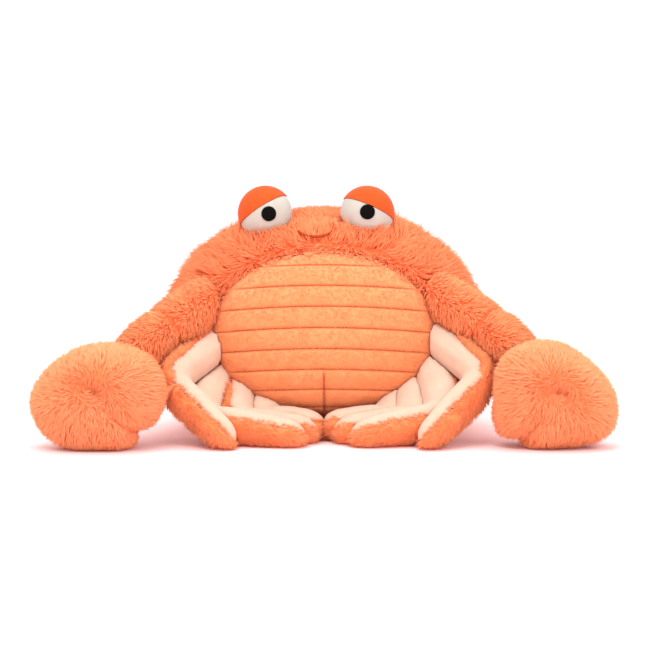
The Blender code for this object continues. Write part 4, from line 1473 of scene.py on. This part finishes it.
@dataclass(frozen=True)
class Eye:
    """One eye: a white ball, an orange lid panel over its upper outer part and a stitched pupil."""

    side: Side
    centre: np.ndarray
    slope: float
    lid_height: float
    pupil_shift: tuple[float, float]
    radius: float = 20.3 * MM
    lid_thickness: float = 0.7 * MM
    lid_tilt: float = 13.0
    pupil_radius: float = 5.7 * MM
    pupil_thickness: float = 1.1 * MM
    seam_gap: float = 0.15 * MM

    def lid_axis(self) -> Vector:
        """Return the direction from the seam up into the lid."""
        slope, tilt = math.radians(self.slope), math.radians(self.lid_tilt)
        return Vector((-math.sin(slope) * math.cos(tilt), math.sin(tilt), math.cos(slope) * math.cos(tilt)))

    def ball(self, name: str, radius: float, keep_above: bool, body: bpy.types.Object) -> bpy.types.Object:
        """Make a ball that is cut at the lid's seam and trimmed to the body.

        Args:
            name: The piece's name.
            radius: The ball's radius.
            keep_above: Whether to keep the lid's part, or else the part below the seam.
            body: The solid that trims it.

        Returns:
            The cut ball.
        """
        bpy.ops.mesh.primitive_uv_sphere_add(
            segments=64, ring_count=40, radius=radius, location=tuple(self.centre)
        )
        piece = bpy.context.active_object
        piece.name = piece.data.name = name
        bpy.ops.object.transform_apply(location=True, rotation=True, scale=True)
        axis = self.lid_axis() if keep_above else -self.lid_axis()
        seam = Vector(self.centre) + self.lid_axis() * self.lid_height + axis * self.seam_gap
        bpy.ops.object.mode_set(mode="EDIT")
        bpy.ops.mesh.select_all(action="SELECT")
        bpy.ops.mesh.bisect(plane_co=seam, plane_no=axis, clear_inner=True, use_fill=True)
        bpy.ops.object.mode_set(mode="OBJECT")
        sharp = math.radians(40)
        apply_modifier(piece, "BEVEL", width=0.5 * MM, segments=3, limit_method="ANGLE", angle_limit=sharp)
        apply_modifier(piece, "BOOLEAN", operation="DIFFERENCE", solver="EXACT", object=body)
        select_only(piece)
        bpy.ops.object.shade_smooth_by_angle(angle=math.radians(50))
        return piece

    def finish_piece(self, piece: bpy.types.Object, node: str, finish: object) -> None:
        """Dress a piece and put it in the place of its node."""
        piece.data.materials.clear()
        piece.data.materials.append(finish_of(finish))
        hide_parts(f"{self.side.value}_{node}")
        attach(piece, ROOT_BODY)
        LOG.info("%s: %d faces", piece.name, len(piece.data.polygons))

    def build(self, body: bpy.types.Object) -> list[Skin]:
        """Make the ball, the lid and the pupil, and return the skins of the first two."""
        name = self.side.value
        white = self.ball(f"{name}_eye_white", self.radius, False, body)
        self.finish_piece(white, "eye_ball", WHITE_SUEDETTE)
        lid = self.ball(f"{name}_eye_lid_panel", self.radius + self.lid_thickness, True, body)
        self.finish_piece(lid, "eye_lid", LID_SUEDETTE)
        self.build_pupil()
        return [Skin(white), Skin(lid)]

    def build_pupil(self) -> None:
        """Make the satin-stitched disc, bent to the ball."""
        origin = (0.0, 0.0, 0.0)
        bpy.ops.mesh.primitive_uv_sphere_add(segments=48, ring_count=20, radius=1.0, location=origin)
        disc = bpy.context.active_object
        disc.name = disc.data.name = f"{self.side.value}_pupil_disc"
        across, up = self.pupil_shift
        toward = unit(np.array([across, -self.radius / MM, up]))
        right = unit(np.cross(toward, [0.0, 0.0, 1.0]))
        above = np.cross(right, toward)
        flat = read_rows(disc.data.vertices, "co", 3, np.float32).astype(float)
        rim = np.minimum(1.0, np.hypot(flat[:, 0], flat[:, 1]))
        height = 0.5 * self.pupil_thickness * (1.0 + np.sign(flat[:, 2]) * np.sqrt(1.0 - rim**6))
        ray = toward * self.radius + (right * flat[:, :1] + above * flat[:, 1:2]) * self.pupil_radius
        placed = self.centre + unit(ray) * (self.radius + self.seam_gap + height)[:, None]
        disc.data.vertices.foreach_set("co", placed.astype(np.float32).ravel())
        select_only(disc)
        bpy.ops.object.mode_set(mode="EDIT")
        bpy.ops.mesh.select_all(action="SELECT")
        bpy.ops.mesh.normals_make_consistent(inside=False)
        bpy.ops.object.mode_set(mode="OBJECT")
        disc.data.shade_smooth()
        self.finish_piece(disc, "pupil", PUPIL_THREAD)


@dataclass(frozen=True)
class Smile:
    """The mouth: one thick thread of two plies, sunk in the pile."""

    radius: float = 1.1 * MM
    plies: int = 2
    turns: float = 9.0

    @staticmethod
    def path() -> np.ndarray:
        """Return the thread's centre line on the body's front."""
        belly = Belly()
        across = np.array([-20.0, -16.0, -9.0, -3.0, 4.0, 7.5, 7.0]) * MM
        height = belly.body_top - np.array([17.0, 19.5, 21.0, 21.0, 19.0, 15.0, 11.5]) * MM
        proud = np.array([1.4, 1.4, 1.2, 0.7, 0.5, 0.8, 1.2]) * MM
        return np.stack([across, belly.body_front(across, height) - proud, height], axis=1)

    def build(self) -> None:
        """Wind the plies round the centre line and join them."""
        path = self.path()
        curve = bpy.data.curves.new("smile_thread", "CURVE")
        curve.dimensions = "3D"
        curve.bevel_depth = 0.62 * self.radius
        curve.bevel_resolution = 3
        curve.use_fill_caps = True
        stations = np.linspace(0, len(path) - 1, 90)
        centres = np.array([np.interp(stations, range(len(path)), path[:, k]) for k in range(3)]).T
        kernel = np.ones(9) / 9
        padded = np.concatenate([np.repeat(centres[:1], 4, 0), centres, np.repeat(centres[-1:], 4, 0)])
        centres = np.stack([np.convolve(padded[:, k], kernel, "valid") for k in range(3)], axis=1)
        runs = unit(np.gradient(centres, axis=0))
        sideways = unit(np.cross(runs, [0.0, -1.0, 0.3]))
        outward = np.cross(sideways, runs)
        for ply in range(self.plies):
            angle = 2 * math.pi * (self.turns * np.linspace(0, 1, len(centres)) + ply / self.plies)
            lift = sideways * np.cos(angle)[:, None] + outward * np.sin(angle)[:, None]
            spline = curve.splines.new("POLY")
            spline.points.add(len(centres) - 1)
            for point, place in zip(spline.points, centres + lift * (0.42 * self.radius)):
                point.co = (*place, 1.0)
        thread = finish_thread(curve, SMILE_THREAD)
        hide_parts("smile")


EYES = (
    Eye(Side.RIGHT, vec(-44.5, -8, 165), 33, 2.5 * MM, (3.1, 0.8)),
    Eye(Side.LEFT, vec(32.6, -8, 165), -24, 3.0 * MM, (0.0, 2.2)),
)

LIMBS = (
    Limb(
        Side.RIGHT,
        shoulder=vec(-95.5, -22.5, 103),
        elbow=vec(-118.5, -54.5, 82),
        wrist=vec(-138.5, -79.5, 71),
        claw_centre=vec(-163.5, -102.5, 36.2),
        notch_angle=322,
        dent=vec(-2, 0, 11),
    ),
    Limb(
        Side.LEFT,
        shoulder=vec(91.8, -23.9, 107),
        elbow=vec(121.8, -54.9, 83),
        wrist=vec(140.8, -77.9, 75),
        claw_centre=vec(166.8, -95.9, 35.8),
        notch_angle=228,
        dent=vec(4, 0, 8),
    ),
)

LEGS = (
    Leg("right_leg_1", vec(-82, -38, 67), vec(-114, -74, 46), vec(-65, -112, 5), 51, suede_inset=0.6 * MM),
    Leg("left_leg_1", vec(84, -38, 73), vec(119, -74, 48), vec(70, -112, 5), 52, suede_inset=0.6 * MM),
    Leg("right_leg_2", vec(-81, -36, 45), vec(-92, -78, 17), vec(-14, -98, 8), 53),
    Leg("left_leg_2", vec(81, -38, 52), vec(90, -80, 19), vec(20, -98, 8), 54),
    Leg("right_leg_3", vec(-63, -40, 31), vec(-65, -70, 13), vec(-5, -82, 9), 55),
    Leg("left_leg_3", vec(67, -41, 36), vec(66, -71, 14), vec(8, -83, 9), 56),
    Leg("right_leg_4", vec(-47, -41, 22), vec(-44, -61, 13), vec(1, -67, 11), 57),
    Leg("left_leg_4", vec(56, -41, 28), vec(49, -61, 14), vec(-2, -67, 11), 58),
)

KNEE_SEAMS = (
    (LEGS[0], (vec(-113, -84, 48), vec(-103, -90, 49))),
    (LEGS[1], (vec(121, -84, 54), vec(106, -90, 54))),
)


@dataclass(frozen=True)
class Studio:
    """A white floor, a white surround, soft lights and the camera of the photograph."""

    target: Vector = Vector((0.0, 0.0, 79.6 * MM))
    distance: float = 1700 * MM
    elevation: float = 6.0
    lens: float = 123.06
    sensor: float = 36.0
    floor_half: float = 6.0
    surround: float = 1.4

    def build(self) -> None:
        """Make the floor, the surround, the lights and the camera."""
        self.build_floor()
        self.build_lights()
        self.build_camera()
        bpy.context.scene.view_settings.view_transform = "Standard"
        bpy.context.scene.cycles.max_bounces = 16
        bpy.context.scene.cycles.diffuse_bounces = 10

    def build_floor(self) -> None:
        """Lay one large sheet just under the crab, tinted pink all over: where lit it renders white, and
        where shaded it turns pink, as light bounced from the orange fur would, which is painted reflected
        light.
        """
        bpy.ops.mesh.primitive_plane_add(size=2 * self.floor_half, location=(0.0, 0.0, -0.2 * MM))
        floor = bpy.context.active_object
        floor.name = floor.data.name = "studio_floor"
        graph = Graph("studio_floor")
        grain = graph.spread(graph.noise(0.4, 1.0), 0.0, 1.0)
        # Pink tint: painted reflected light from the fur in the floor's shadows.
        tone = graph.blend(grain, (0.99, 0.72, 0.715, 1.0), (1.0, 0.735, 0.725, 1.0))
        floor.data.materials.append(graph.surface(Base_Color=tone, Roughness=0.9))

    def build_lights(self) -> None:
        """Light the crab from all round, most from above and in front."""
        world = bpy.data.worlds.new("white_surround")
        world.use_nodes = True
        background = world.node_tree.nodes["Background"]
        background.inputs["Color"].default_value = (1.0, 1.0, 1.0, 1.0)
        background.inputs["Strength"].default_value = self.surround
        bpy.context.scene.world = world
        for name, place, size, power in (
            ("key_light", (-0.35, -0.9, 1.6), 1.0, 12.0),
            ("fill_light", (0.9, -1.3, 0.9), 1.2, 6.0),
            ("top_light", (0.1, 0.3, 1.7), 1.2, 8.0),
        ):
            light = bpy.data.lights.new(name, "AREA")
            light.shape = "DISK"
            light.size = size
            light.energy = power
            lamp = bpy.data.objects.new(name, light)
            lamp.location = place
            lamp.rotation_euler = (self.target - Vector(place)).to_track_quat("-Z", "Y").to_euler()
            bpy.context.scene.collection.objects.link(lamp)

    def build_camera(self) -> None:
        """Stand the camera where the photograph was taken from."""
        rise = math.radians(self.elevation)
        camera = bpy.data.cameras.new("photo_camera")
        camera.lens = self.lens
        camera.sensor_width = self.sensor
        stand = bpy.data.objects.new("photo_camera", camera)
        stand.location = self.target + Vector((0.0, -math.cos(rise), math.sin(rise))) * self.distance
        stand.rotation_euler = (self.target - stand.location).to_track_quat("-Z", "Y").to_euler()
        bpy.context.scene.collection.objects.link(stand)
        bpy.context.scene.camera = stand


def grown_copy(source: bpy.types.Object, name: str, distance: float) -> bpy.types.Object:
    """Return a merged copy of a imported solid, moved outward by a distance."""
    shape = bmesh.new()
    shape.from_mesh(source.data)
    bmesh.ops.remove_doubles(shape, verts=shape.verts, dist=0.01 * MM)
    shape.normal_update()
    for vertex in shape.verts:
        vertex.co += vertex.normal * distance
    mesh = bpy.data.meshes.new(name)
    shape.to_mesh(mesh)
    shape.free()
    made = bpy.data.objects.new(name, mesh)
    bpy.context.scene.collection.objects.link(made)
    return made


def main() -> None:
    """Load the frame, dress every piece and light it."""
    logging.basicConfig(level=logging.INFO, format="%(message)s")
    bpy.ops.object.select_all(action="SELECT")
    bpy.ops.object.delete()
    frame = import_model()
    bpy.ops.object.select_all(action="DESELECT")
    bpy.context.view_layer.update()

    carapace = Carapace()
    body_skin = carapace.build_cover(frame)
    belly = Belly()
    belly_front = belly.build()
    for leg in LEGS:
        leg.build_covers(frame)
    for leg, ends in KNEE_SEAMS:
        leg.build_welt()
        leg.build_stitches(ends)
    limb_skins = [limb.build_covers(frame) for limb in LIMBS]
    trimmer = grown_copy(frame["nodes"]["body_shell"], "body_trimmer", 0.2 * MM)
    eye_skins = [skin for eye in EYES for skin in eye.build(trimmer)]
    bpy.data.objects.remove(trimmer)
    Smile().build()

    leg_skins = [skin for leg in LEGS for skin in leg.skins()]
    arm_skins = [skin for pair in limb_skins for skin in pair]
    carapace.build_pile(body_skin, belly_front, eye_skins, arm_skins + leg_skins)
    belly.build_pile(belly_front, leg_skins)
    for limb, (arm, claw) in zip(LIMBS, limb_skins):
        limb.build_pile(arm, claw, leg_skins)
    for leg in LEGS:
        others = [skin for other in LEGS if other is not leg for skin in other.skins()]
        leg.build_pile(others)

    Studio().build()


if __name__ == "__main__":
    main()
